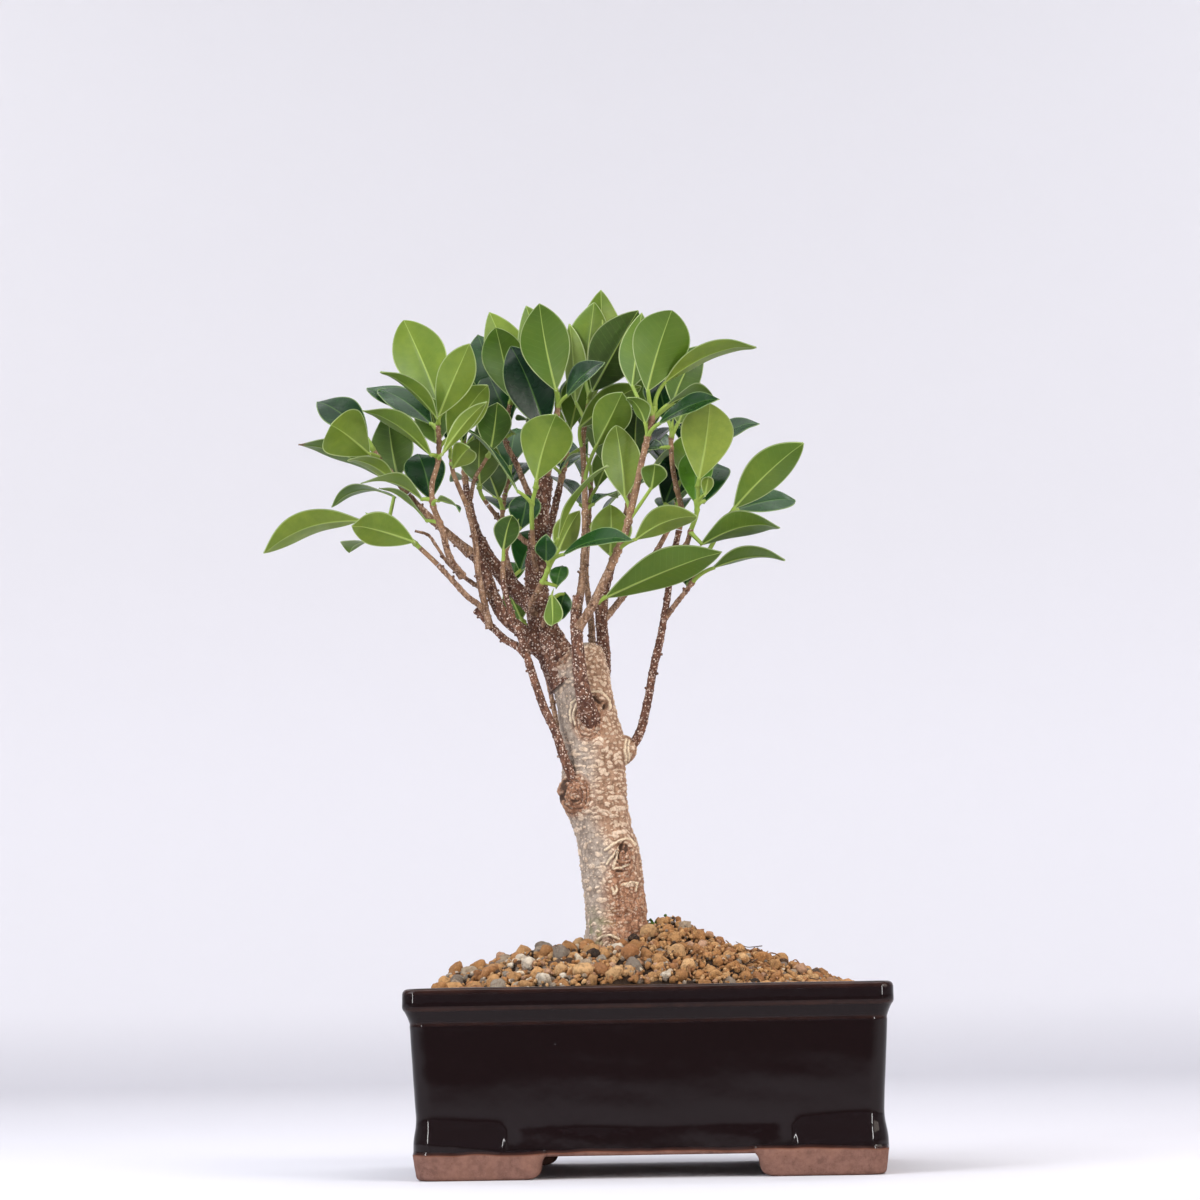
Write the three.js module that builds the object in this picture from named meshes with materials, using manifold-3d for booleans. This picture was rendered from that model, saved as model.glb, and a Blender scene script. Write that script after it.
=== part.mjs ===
// A small fig trained as a bonsai, in a glazed rectangular pot. Millimetres, +Z up.
// The tree is laid out in front view: seen(x, y, depth) takes a point of a 1200-unit-wide view of the
// tree, with y down, and how far behind (+) or in front (-) of the pot's middle plane it lies in mm.

import * as THREE from 'three';
import { mergeVertices } from 'three/addons/utils/BufferGeometryUtils.js';
import Module from 'manifold-3d';

const wasm = await Module();
wasm.setup();

// ---------------------------------------------------------------- driving dimensions (mm)

const GAP = 0.3; // clearance kept between neighbouring pieces

const POT_WIDTH = 207; // over the rim
const POT_DEPTH = 150;
const POT_HEIGHT = 80;
const POT_WALL = 7;
const RIM_BAND = 9.6; // height of the upright band under the lip
const COVE = 5.3; // height of the slanting hollow under the band
const BODY_TOP_INSET = 2.7; // wall below the cove, measured in from the rim
const BODY_FOOT_INSET = 5.2;
const LIP = 9.5; // breadth of the flat top
const FLOOR_UNDERSIDE = 9.5; // height of the floor's underside above the table
const FLOOR_THICKNESS = 6.5;
const CORNER_RADIUS = 8;
const FOOT_LENGTH = 57;
const FOOT_SIDE_LENGTH = 42;
const FOOT_THICKNESS = 14;
const FOOT_HEIGHT = 10.7;
const FOOT_PROUD = 1.6; // how far a foot's face stands out from the wall
const FOOT_SLOPE = 1.6; // how far it slopes in towards the table
const FOOT_ROUNDING = 1.4; // at its lower edge
const FOOT_FADE = 27; // height at which a foot's raised face has died into the wall
const DRAIN_DIAMETER = 17;
const DRAIN_SPACING = 92;

const MESH_SIZE = 30;
const MESH_THICKNESS = 0.8;
const MESH_HOLE = 7;
const MESH_HOLES_PER_SIDE = 3;
const CLIP_WIRE = 1.2; // diameter

const SOIL_EDGE = 78.6; // height of the soil where it meets the pot
const SOIL_MOUND = 20; // rise of the broad mound
const SOIL_PEAK = 11; // further rise round the foot of the trunk
const MOUND = { middleX: -8, halfWidth: 97, halfDepth: 70, steepness: 2.2, peakX: 10, peakReach: 17 };
// Large grains on the soil: how far points of the surface lie apart and out of line, and stand up or lie low.
const GRAIN_GRID = {
  pitch: 9.6, columns: 20, rows: 14, jitter: 2.2, relief: 2.4, atRim: 0.3, fadeRise: 8, seed: 5,
};

// The trunk swells into buttresses over `fade` mm, from `above` mm over the soil line downwards.
const BUTTRESS = { count: 3, swell: 0.16, above: 14, fade: 30, phase: 0.6 };

const BLADE_THICKNESS = 0.7;
const BLADE_TIP = 1; // breadth at the very tip
const STALK_HALF = 0.65; // half the breadth of a leaf stalk
const LEAF_CLEARANCE = 4.6; // least distance between the sample points of two leaves
const GOLDEN_ANGLE = 2.4;

// Leaves set by rule: how far a try turns from the last, the lean in degrees lost towards the tip and its
// scatter, the pull of the stem's direction to upright, and the stalk, droop and arch in mm.
const WHORL = {
  attempts: 14,
  turn: 0.45,
  openness: 10,
  closing: 34,
  scatter: 20,
  upright: 0.6,
  stalk: 7,
  droop: 4,
  arch: 2.5,
};
const LONG_STALK = 10; // stalks longer than this are bent

// ---------------------------------------------------------------- the front view

const VIEW = {
  eye: new THREE.Vector3(31.6, -1300, 65),
  yaw: THREE.MathUtils.degToRad(2.25),
  pitch: THREE.MathUtils.degToRad(8.26),
  roll: THREE.MathUtils.degToRad(1.01),
  focal: 2903,
  centre: 600,
};

const viewBasis = (() => {
  const { yaw, pitch, roll } = VIEW;
  const forward = new THREE.Vector3(
    -Math.sin(yaw) * Math.cos(pitch),
    Math.cos(yaw) * Math.cos(pitch),
    Math.sin(pitch),
  );
  const level = new THREE.Vector3(Math.cos(yaw), Math.sin(yaw), 0);
  const upright = new THREE.Vector3().crossVectors(level, forward);
  const right = level.clone().multiplyScalar(Math.cos(roll)).addScaledVector(upright, -Math.sin(roll));
  const up = level.clone().multiplyScalar(Math.sin(roll)).addScaledVector(upright, Math.cos(roll));
  return { forward, right, up };
})();

function seen(x, y, depth) {
  const ray = viewBasis.forward.clone()
    .addScaledVector(viewBasis.right, (x - VIEW.centre) / VIEW.focal)
    .addScaledVector(viewBasis.up, (VIEW.centre - y) / VIEW.focal);
  return VIEW.eye.clone().addScaledVector(ray, (depth - VIEW.eye.y) / ray.y);
}

// The front view's coordinates of a point.
function viewOf(point) {
  const offset = point.clone().sub(VIEW.eye);
  const distance = offset.dot(viewBasis.forward);
  return {
    x: VIEW.centre + (VIEW.focal * offset.dot(viewBasis.right)) / distance,
    y: VIEW.centre - (VIEW.focal * offset.dot(viewBasis.up)) / distance,
  };
}

// The part of the front view where leaves behind the front ones stay hidden.
const CROWN = { left: 443, right: 716, top: 338, bottom: 522 };

function isInCrown(point) {
  const { x, y } = viewOf(point);
  return x > CROWN.left && x < CROWN.right && y > CROWN.top && y < CROWN.bottom;
}

const TRUNK_FOOT = seen(615, 926, 0);

// ---------------------------------------------------------------- the tree, in front view

// Trunk outline: [y, left x, right x], from below the soil up to the cut top.
const TRUNK = [
  [1000, 572, 662], [975, 574, 660], [950, 581, 653], [930, 584.5, 647], [904, 585, 645], [888, 583, 643.5],
  [865, 581, 641.5], [847, 579, 638.6], [826, 573, 631], [805, 562, 627], [790, 559, 626],
  [774, 563, 625.6], [745, 562, 626], [730, 559.6, 621], [703, 556.7, 614], [683, 553, 611],
  [664, 551, 606.5], [650, 565, 602], [643, 580, 597],
];

// Knots and scars that stand out from the trunk: [x, y, depth, half width, half height, half thickness],
// the last three in mm.
const KNOTS = [
  [591, 708, -8.5, 8, 9, 5.5],
  [574, 793, -7, 7, 9, 7],
  [622, 860, -8, 6.5, 9, 5],
  [621, 750, -1, 7, 7, 6],
  [598, 905, 9, 8, 11, 7],
];

// Woody limbs: radius in mm at the start and the end, then [x, y, depth] points. Each starts inside the
// trunk or the limb it grew from.
const LIMBS = {
  leader: [9.2, 3.3, [[572, 680, 0], [556, 655, 0], [545, 632, 1], [538, 605, 3], [536, 575, 4],
    [538, 540, 4], [542, 505, 3], [546, 478, 0]]],
  crotch: [4.4, 3.2, [[541, 612, 3], [520, 594, 6], [500, 572, 9], [486, 555, 11], [479, 540, 13]]],
  lowLeft: [3.8, 2.4, [[549, 645, 0], [524, 632, -3], [505, 617, -5], [494, 598, -4], [487, 578, -1],
    [479, 561, 2], [466, 549, 0]]],
  front: [4.4, 2.3, [[592, 722, -9], [588, 712, -13], [584, 697, -17], [581, 680, -18.5], [578, 650, -19],
    [576, 620, -19], [578, 596, -18]]],
  behindRight: [3.4, 2.5, [[600, 684, 4], [604, 664, 9], [603, 640, 12], [601, 620, 14], [600, 600, 17]]],
  lowestLeft: [2.4, 1.7, [[582, 795, -3], [572, 777, -11], [563, 755, -13], [556, 733, -13],
    [545, 710, -12], [537, 688, -11], [530, 666, -12], [524, 648, -13]]],
  leftBough: [1.8, 1.5, [[527, 655, -12], [518, 647, -11], [506, 640, -9], [496, 631, -7], [487, 622, -7],
    [480, 614, -8], [475, 610, -8]]],
  stub: [2, 1.4, [[538, 600, 4], [530, 588, 2], [529, 579, 0]]],
  oldCut: [4.5, 3, [[547, 652, 0], [536, 646, -2], [529, 640, -4]]],
};

// Twigs: the woody part of each ends after `wood` points, and its leafy shoot goes on from there.
// `radius` is at the start and the tip. A leaf is [place on the stem 0..1, base x, y, depth, tip x, y, depth,
// width mm, turn in degrees, arch mm]. Turn 0 shows its upper side in the front view, 90 faces it up, and 180
// shows its underside.
const TWIGS = {
  left_tip: {
    radius: [2.1, 1.1], wood: 5,
    points: [[470, 553, 0], [455, 540, -4], [440, 527, -8], [425, 513, -12], [408, 495, -15],
      [395, 478, -17], [382, 463, -19], [372, 448, -20]],
    leaves: [
      [1, 368, 438, -20, 317, 400, -12, 18, 30, 2],
      [0.8, 369, 455, -25, 333, 428, -44, 22, 180, 3],
      [0.5, 384, 478, -22, 299, 443, -34, 19, 118, 3],
      [0.3, 395, 482, -20, 348, 457, -42, 16, 128, 3],
      [0.3, 398, 478, -10, 388, 413, -2, 20, 176, 2],
    ],
  },
  left_upright: {
    radius: [1.6, 0.9], wood: 4,
    points: [[462, 576, -12], [456, 568, -16], [448, 553, -24], [442, 529, -27], [433, 505, -29],
      [432, 485, -30], [438, 462, -31], [439, 440, -32], [438, 425, -33], [440, 412, -34]],
    leaves: [
      [0.05, 428, 522, -24, 381, 486, -20, 12, 100, 2],
      [0.25, 423, 500, -30, 361, 482, -44, 16, 108, 4],
      [0.2, 437, 500, -36, 461, 509, -42, 12, 100, 1],
      [0.25, 431, 500, -24, 418, 453, -14, 19, 10, 1],
      [0.62, 432, 456, -34, 364, 408, -48, 17, 120, 3],
      [0.8, 425, 420, -22, 367, 387, -6, 17, 50, 2],
      [0.85, 432, 425, -28, 378, 388, -14, 18, 45, 2],
      [0.9, 438, 418, -38, 382, 369, -58, 15, 115, 2],
      [1, 435, 400, -33, 403, 321, -30, 21, 180, 2],
      [0.98, 441, 415, -38, 470, 343, -54, 20, 186, 2],
      [0.75, 437, 444, -26, 424, 390, -16, 18, 170, 2],
      [0.6, 443, 450, -36, 490, 398, -56, 17, 150, 3],
      [0.7, 448, 440, -26, 486, 384, -34, 15, 160, 2],
    ],
  },
  left_low: {
    radius: [1.4, 0.9], wood: 5,
    points: [[488, 618, -7], [480, 606, -11], [468, 597, -16], [452, 580, -19], [438, 565, -20],
      [420, 548, -21], [400, 530, -18], [386, 520, -15], [373, 516, -14]],
    leaves: [
      [0.35, 415, 542, -27, 351, 524, -40, 17, 160, 3],
      [1, 362, 520, -16, 263, 552, -22, 20, 128, 6],
      [0.7, 372, 543, 4, 349, 550, 26, 16, 100, 2],
      [0.8, 396, 497, -4, 332, 503, 14, 14, 105, 5],
    ],
  },
  dry_twig: {
    radius: [1.1, 0.6], wood: 7,
    points: [[494, 601, -4], [480, 588, -9], [464, 577, -12], [448, 563, -13], [437, 547, -15],
      [428, 535, -16], [415, 531, -18]],
    leaves: [],
  },
  left_middle: {
    radius: [1.6, 1], wood: 5,
    points: [[490, 628, -7], [485, 606, -10], [478, 572, -14], [475, 540, -16], [467, 507, -18],
      [460, 490, -19], [453, 472, -20], [451, 456, -20]],
    leaves: [
      [0.85, 453, 468, -25, 471, 446, -40, 12, 180, 1],
      [1, 450, 446, -18, 462, 396, -2, 17, 10, 2],
    ],
  },
  left_inner: {
    radius: [1, 0.8], wood: 3,
    points: [[469, 512, -17], [471, 497, -12], [475, 478, -9], [482, 466, -8], [488, 456, -8]],
    leaves: [
      [1, 490, 452, -14, 497, 402, -24, 16, 172, 2],
    ],
  },
  behind_leader: {
    radius: [1.3, 0.9], wood: 4,
    points: [[536, 550, 5], [520, 537, 7], [503, 523, 6], [488, 505, 4], [481, 494, 3], [479, 486, 2]],
    leaves: [
      [0.9, 480, 486, 0, 480, 438, -2, 20, 184, 2],
    ],
  },
  crown_left: {
    radius: [1.5, 1], wood: 4,
    points: [[541, 515, 3], [528, 492, 5], [516, 463, 3], [505, 440, 0], [506, 420, -3], [511, 402, -5]],
    leaves: [
      [1, 511, 398, -8, 496, 328, -14, 20, 176, 2],
      [1, 518, 388, 0, 490, 313, 10, 20, 172, 2],
      [0.5, 510, 424, -1, 487, 372, 10, 19, 10, 2],
      [0.05, 516, 434, -4, 489, 425, -7, 7, 75, 1],
      [0.7, 500, 412, 6, 478, 333, 18, 20, 10, 2],
    ],
  },
  crown_centre: {
    radius: [1.9, 1.1], wood: 2,
    points: [[544, 495, 2], [547, 476, 0], [551, 458, -5], [555, 434, -10], [557, 414, -14],
      [558, 402, -16]],
    leaves: [
      [0.85, 551, 420, -18, 511, 345, -22, 23, 8, 2],
      [1, 556, 391, -20, 539, 303, -34, 23, 182, 2],
      [0.95, 566, 397, -19, 604, 361, -20, 15, 52, 2],
      [1, 549, 384, -10, 527, 307, 0, 19, 170, 2],
      [0.2, 558, 474, 2, 591, 452, 4, 9, 88, 3],
    ],
  },
  front_fan: {
    radius: [1.3, 0.9], wood: 3,
    points: [[536, 572, 1], [534, 560, -5], [533, 545, -10], [532, 525, -15], [532, 505, -20],
      [536, 487, -24]],
    leaves: [
      [1, 536, 481, -27, 556, 414, -40, 24, 180, 2],
      [0.7, 519, 493, -25, 463, 424, -33, 9, 82, 2],
    ],
  },
  crown_right: {
    radius: [1.8, 1], wood: 4,
    points: [[577, 610, -19], [581, 590, -17], [584, 560, -15], [585, 530, -12], [585, 500, -10],
      [584, 470, -8], [583, 440, -6], [587, 412, -5], [590, 396, -4]],
    leaves: [
      [1, 592, 392, -6, 637, 311, -2, 21, 172, 2],
      [1, 584, 380, 2, 596, 303, 4, 19, 178, 2],
      [0.95, 604, 376, 4, 598, 292, 12, 19, 190, 2],
      [0.8, 576, 405, -1, 571, 325, 9, 12, 150, 1],
      [0.35, 599, 447, -17, 624, 392, -33, 18, 180, 2],
      [0.6, 578, 428, -9, 640, 384, -14, 15, 150, 2],
      [0.12, 592, 505, -6, 617, 494, 6, 12, 80, 2],
    ],
  },
  front_right: {
    radius: [2, 1.2], wood: 4,
    points: [[578, 628, -20], [590, 610, -23], [600, 590, -26], [609, 570, -28], [618, 550, -30],
      [626, 530, -31], [631, 510, -32], [636, 490, -33], [641, 465, -34], [647, 440, -35],
      [652, 420, -36], [655, 404, -36]],
    leaves: [
      [0.06, 610, 556, -24, 611, 507, -18, 19, 182, 2],
      [0.12, 634, 540, -35, 697, 515, -44, 17, 138, 4],
      [0.36, 625, 499, -29, 616, 427, -25, 18, 180, 2],
      [0.92, 648, 392, -40, 673, 310, -54, 24, 182, 2],
      [0.85, 630, 388, -28, 640, 315, -14, 20, 176, 2],
      [0.97, 663, 383, -38, 755, 343, -50, 18, 118, 4],
      [0.9, 672, 405, -28, 700, 347, -12, 19, 160, 2],
      [0.85, 666, 405, -36, 712, 394, -26, 16, 112, 2],
      [0.8, 658, 424, -42, 718, 397, -52, 16, 62, 2],
      [0.75, 646, 424, -38, 629, 396, -44, 12, 130, 2],
      [0.3, 651, 490, -37, 655, 463, -48, 12, 180, 1],
    ],
  },
  front_low: {
    radius: [1.1, 0.8], wood: 2,
    points: [[577, 632, -19], [586, 618, -15], [592, 608, -13], [598, 602, -13]],
    leaves: [
      [1, 604, 598, -14, 722, 550, -34, 20, 150, 3],
    ],
  },
  tan_centre: {
    radius: [1.5, 0.9], wood: 3,
    points: [[539, 622, 0], [531, 606, -7], [537, 592, -14], [545, 577, -20], [549, 566, -23],
      [552, 554, -25]],
    leaves: [
      [0.75, 546, 562, -27, 546, 535, -34, 10, 10, 1],
      [0.8, 562, 555, -30, 631, 537, -46, 14, 60, 3],
      [1, 557, 540, -28, 606, 464, -40, 12, 100, 3],
      [0.6, 558, 552, -18, 578, 512, -2, 13, 165, 2],
      [0.3, 556, 588, -15, 562, 564, -8, 9, 20, 1],
    ],
  },
  left_spire: {
    radius: [1.6, 0.9], wood: 4,
    points: [[527, 656, -12], [521, 638, -14], [511, 612, -15], [503, 580, -15], [505, 555, -14],
      [510, 541, -13], [515, 528, -12]],
    leaves: [
      [0.3, 503, 551, -16, 512, 514, -24, 12, 172, 1],
      [0.9, 520, 530, -10, 528, 492, -2, 15, 12, 1],
    ],
  },
  low_hanging: {
    radius: [1, 0.7], wood: 2,
    points: [[541, 632, -3], [545, 618, -9], [549, 606, -11], [551, 598, -12]],
    leaves: [
      [1, 552, 594, -14, 553, 628, -22, 9, 165, 1],
      [0.8, 565, 592, -9, 561, 618, -10, 11, 20, 1],
    ],
  },
  low_left_leaf: {
    radius: [1, 0.7], wood: 2,
    points: [[541, 640, 3], [532, 632, 11], [527, 626, 14], [524, 622, 15]],
    leaves: [
      [1, 522, 620, 16, 507, 588, 22, 14, 165, 1],
    ],
  },
  right_upright: {
    radius: [2.1, 1], wood: 9,
    points: [[620, 756, -1], [630, 748, -1], [640, 732, -2], [648, 700, -3], [653, 670, -4], [660, 640, -5],
      [667, 600, -6], [672, 562, -8], [679, 530, -10], [682, 512, -12], [677, 490, -14], [673, 470, -15],
      [671, 445, -16], [672, 428, -16]],
    leaves: [
      [0.15, 664, 506, -8, 688, 453, 4, 18, 8, 2],
      [0.4, 684, 478, -10, 700, 430, 2, 18, 170, 2],
      [0.8, 662, 448, -17, 640, 452, -8, 12, 70, 1],
      [0.9, 678, 424, -16, 694, 372, -4, 18, 172, 2],
      [1, 668, 422, -14, 656, 372, -8, 17, 14, 2],
    ],
  },
  right_fan: {
    radius: [1.3, 0.9], wood: 3,
    points: [[674, 556, -9], [682, 549, -14], [687, 543, -18], [691, 530, -22], [696, 516, -26],
      [698, 500, -29], [698, 486, -32]],
    leaves: [
      [1, 699, 480, -34, 710, 403, -48, 24, 180, 2],
      [0.6, 695, 503, -23, 700, 445, -16, 16, 6, 2],
      [0.7, 704, 503, -23, 718, 462, -8, 18, 14, 1],
      [0.2, 700, 545, -24, 780, 525, -38, 19, 128, 5],
      [0.75, 705, 496, -33, 709, 475, -40, 6, 180, 1],
    ],
  },
  right_low: {
    radius: [1.2, 0.9], wood: 3,
    points: [[665, 618, -5], [678, 601, -8], [689, 587, -10], [698, 573, -12], [706, 556, -14],
      [716, 538, -16], [727, 521, -18], [732, 513, -19]],
    leaves: [
      [1, 733, 509, -20, 803, 442, -30, 19, 158, 3],
      [0.8, 736, 510, -10, 796, 499, 6, 16, 45, 2],
      [0.05, 712, 568, -17, 785, 558, -26, 17, 112, 3],
      [0.05, 687, 586, -4, 690, 566, 4, 10, 10, 1],
    ],
  },
  back_low: {
    radius: [1.3, 0.8], wood: 7,
    points: [[572, 775, 6], [561, 745, 14], [556, 720, 19], [550, 690, 23], [545, 668, 27], [536, 630, 36],
      [524, 600, 46], [514, 584, 54], [510, 572, 58]],
    leaves: [
      [1, 511, 584, 55, 516, 560, 74, 11, 10, 1],
      [0.8, 520, 572, 58, 540, 528, 68, 17, 20, 2],
    ],
  },
  back_left: {
    radius: [2.2, 1], wood: 4,
    points: [[484, 549, 12], [476, 530, 20], [470, 508, 26], [466, 486, 30], [464, 462, 34],
      [464, 438, 36]], whorl: { leaves: 7, length: 34, width: 18, from: 0.15, lean: 50, seed: 5 },
  },
  back_middle: {
    radius: [2.2, 1], wood: 4,
    points: [[540, 560, 6], [546, 540, 14], [553, 515, 21], [560, 485, 27], [566, 455, 31], [566, 430, 33]],
    whorl: { leaves: 7, length: 36, width: 19, from: 0.15, lean: 50, seed: 23 },
  },
  back_right: {
    radius: [2.3, 1], wood: 4,
    points: [[601, 612, 15], [606, 585, 18], [616, 550, 22], [626, 515, 26], [634, 480, 29],
      [639, 448, 31]], whorl: { leaves: 7, length: 36, width: 19, from: 0.15, lean: 50, seed: 31 },
  },
  back_far_right: {
    radius: [1.6, 0.9], wood: 4,
    points: [[602, 622, 14], [618, 603, 22], [640, 575, 33], [660, 545, 42], [674, 515, 49], [680, 485, 54],
      [682, 460, 57]],
    leaves: [
      [0.7, 706, 448, 50, 758, 421, 44, 17, 62, 2],
    ],
    whorl: { leaves: 6, length: 34, width: 18, from: 0.2, lean: 52, seed: 47 },
  },
  back_far_middle: {
    radius: [1.8, 0.9], wood: 4,
    points: [[588, 668, 2], [592, 642, 20], [590, 610, 38], [586, 575, 52], [588, 540, 61], [590, 500, 68],
      [592, 475, 71]],
    whorl: { leaves: 7, length: 34, width: 18, from: 0.2, lean: 52, seed: 59 },
  },
  back_far_left: {
    radius: [1.6, 0.9], wood: 4,
    points: [[534, 606, 5], [516, 584, 20], [506, 556, 36], [502, 528, 48], [504, 500, 58], [510, 472, 64]],
    whorl: { leaves: 7, length: 34, width: 18, from: 0.2, lean: 52, seed: 71 },
  },
};

// ---------------------------------------------------------------- solids

function solid(geometry) {
  const bare = geometry.clone();
  bare.deleteAttribute('normal');
  bare.deleteAttribute('uv');
  const merged = mergeVertices(bare, 1e-5);
  return new wasm.Manifold(new wasm.Mesh({
    numProp: 3,
    vertProperties: new Float32Array(merged.attributes.position.array),
    triVerts: new Uint32Array(merged.index.array),
  }));
}

function geometryOf(manifold) {
  const { numProp, vertProperties, triVerts } = manifold.getMesh();
  const positions = new Float32Array((vertProperties.length / numProp) * 3);
  for (let i = 0; i < positions.length / 3; i++) {
    for (let k = 0; k < 3; k++) positions[i * 3 + k] = vertProperties[i * numProp + k];
  }
  const geometry = new THREE.BufferGeometry();
  geometry.setAttribute('position', new THREE.BufferAttribute(positions, 3));
  geometry.setIndex(new THREE.BufferAttribute(new Uint32Array(triVerts), 1));
  return geometry;
}

const join = (solids) => solids.reduce((whole, next) => whole.add(next));

// A closed solid through rings of equally many points, each counter-clockwise seen from the next one.
// A flat outline that isn't convex is capped by triangulating it in plan.
function loft(rings, capInPlan = false) {
  const count = rings[0].length;
  const points = rings.flat();
  const index = [];
  for (let ring = 0; ring < rings.length - 1; ring++) {
    for (let i = 0; i < count; i++) {
      const a = ring * count + i;
      const b = ring * count + ((i + 1) % count);
      index.push(a, b, b + count, a, b + count, a + count);
    }
  }
  const fan = [];
  for (let i = 1; i < count - 1; i++) fan.push([0, i, i + 1]);
  const plan = (ring) => ring.map((p) => new THREE.Vector2(p.x, p.y));
  const faces = (ring) => (capInPlan ? THREE.ShapeUtils.triangulateShape(plan(ring), []) : fan);
  for (const [a, b, c] of faces(rings[0])) index.push(a, c, b);
  const last = (rings.length - 1) * count;
  for (const [a, b, c] of faces(rings.at(-1))) index.push(last + a, last + b, last + c);
  const geometry = new THREE.BufferGeometry().setFromPoints(points);
  geometry.setIndex(index);
  return solid(geometry);
}

const curveThrough = (points) => new THREE.CatmullRomCurve3(points, false, 'centripetal');

// A tapering round tube along a curve, between two places on it (0..1 of its length).
function tube(curve, radiusAt, { steps, sides, from = 0, to = 1 }) {
  const rings = [];
  let side = null;
  for (let step = 0; step <= steps; step++) {
    const place = from + ((to - from) * step) / steps;
    const middle = curve.getPointAt(place);
    const along = curve.getTangentAt(place);
    if (!side) side = Math.abs(along.z) < 0.9 ? new THREE.Vector3(0, 0, 1) : new THREE.Vector3(0, 1, 0);
    side = side.clone().addScaledVector(along, -side.dot(along)).normalize();
    const other = new THREE.Vector3().crossVectors(along, side);
    const ring = [];
    for (let i = 0; i < sides; i++) {
      const angle = (i / sides) * 2 * Math.PI;
      ring.push(middle.clone()
        .addScaledVector(side, radiusAt(place) * Math.cos(angle))
        .addScaledVector(other, radiusAt(place) * Math.sin(angle)));
    }
    rings.push(ring);
  }
  return loft(rings);
}

function seededRandom(seed) {
  let state = seed;
  return () => {
    state = (state * 1664525 + 1013904223) % 4294967296;
    return state / 4294967296;
  };
}

// ---------------------------------------------------------------- the pot

function roundedRectangle(halfWidth, halfDepth, radius, z, arcSteps = 3, straightSteps = 1) {
  const corners = [[1, 1, 0], [-1, 1, 90], [-1, -1, 180], [1, -1, 270]];
  const ring = [];
  for (const [sx, sy, startDegrees] of corners) {
    for (let i = 0; i <= arcSteps; i++) {
      const angle = THREE.MathUtils.degToRad(startDegrees + (90 * i) / arcSteps);
      ring.push(new THREE.Vector3(
        sx * (halfWidth - radius) + radius * Math.cos(angle),
        sy * (halfDepth - radius) + radius * Math.sin(angle),
        z,
      ));
    }
  }
  const full = [];
  ring.forEach((point, i) => {
    full.push(point);
    const isLastOfArc = i % (arcSteps + 1) === arcSteps;
    const next = ring[(i + 1) % ring.length];
    if (isLastOfArc) {
      for (let k = 1; k < straightSteps; k++) full.push(point.clone().lerp(next, k / straightSteps));
    }
  });
  return full;
}

// A ring of the pot, a given distance in from the rim's outside.
const potRing = (inset, radius, z) => (
  roundedRectangle(POT_WIDTH / 2 - inset, POT_DEPTH / 2 - inset, radius, z)
);

const FLOOR_TOP = FLOOR_UNDERSIDE + FLOOR_THICKNESS;
const BODY_TOP = POT_HEIGHT - RIM_BAND - COVE;

// How far the inside of the wall lies in from the rim's outside, at a height.
function innerInset(z) {
  const rise = (z - FLOOR_TOP) / (POT_HEIGHT - FLOOR_TOP);
  return THREE.MathUtils.lerp(BODY_FOOT_INSET + POT_WALL, LIP, rise);
}

// The plan of one bracket foot: an L round a corner of the pot, in the quarter with the given signs.
function footPlan([signX, signY], z, outerInset, endInset, thickness) {
  const x = POT_WIDTH / 2 - outerInset;
  const y = POT_DEPTH / 2 - outerInset;
  const xEnd = x - FOOT_LENGTH + endInset;
  const yEnd = y - FOOT_SIDE_LENGTH + endInset;
  const outline = [[x - thickness, yEnd], [x, yEnd]];
  const arcSteps = 3;
  for (let i = 0; i <= arcSteps; i++) {
    const angle = ((Math.PI / 2) * i) / arcSteps;
    outline.push([
      x - CORNER_RADIUS + CORNER_RADIUS * Math.cos(angle),
      y - CORNER_RADIUS + CORNER_RADIUS * Math.sin(angle),
    ]);
  }
  outline.push([xEnd, y], [xEnd, y - thickness], [x - thickness, y - thickness]);
  if (signX * signY < 0) outline.reverse();
  return outline.map(([px, py]) => new THREE.Vector3(signX * px, signY * py, z));
}

// A foot stands a little proud of the wall, and its raised face dies into the wall above it.
function foot(signs) {
  const top = BODY_FOOT_INSET - FOOT_PROUD;
  const block = loft([
    footPlan(signs, 0, top + FOOT_SLOPE + FOOT_ROUNDING, 7.5, FOOT_THICKNESS - 3),
    footPlan(signs, FOOT_ROUNDING, top + FOOT_SLOPE, 5.5, FOOT_THICKNESS - 1),
    footPlan(signs, FOOT_HEIGHT / 2, top + FOOT_SLOPE / 2, 3.6, FOOT_THICKNESS),
    footPlan(signs, FOOT_HEIGHT + 2, top, -1, FOOT_THICKNESS),
  ], true);
  const fade = loft([
    footPlan(signs, FOOT_HEIGHT, top + 0.1, 1, POT_WALL - 1.5),
    footPlan(signs, (FOOT_HEIGHT + FOOT_FADE) / 2, top + 0.9, 2, POT_WALL - 2.5),
    footPlan(signs, FOOT_FADE, BODY_FOOT_INSET + 0.4, 9, POT_WALL - 4),
  ], true);
  return block.add(fade);
}

function drainHole(x) {
  const bore = new THREE.CylinderGeometry(DRAIN_DIAMETER / 2, DRAIN_DIAMETER / 2, FLOOR_THICKNESS * 3, 20);
  bore.rotateX(Math.PI / 2);
  bore.translate(x, 0, FLOOR_UNDERSIDE + FLOOR_THICKNESS / 2);
  return solid(bore);
}

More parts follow.
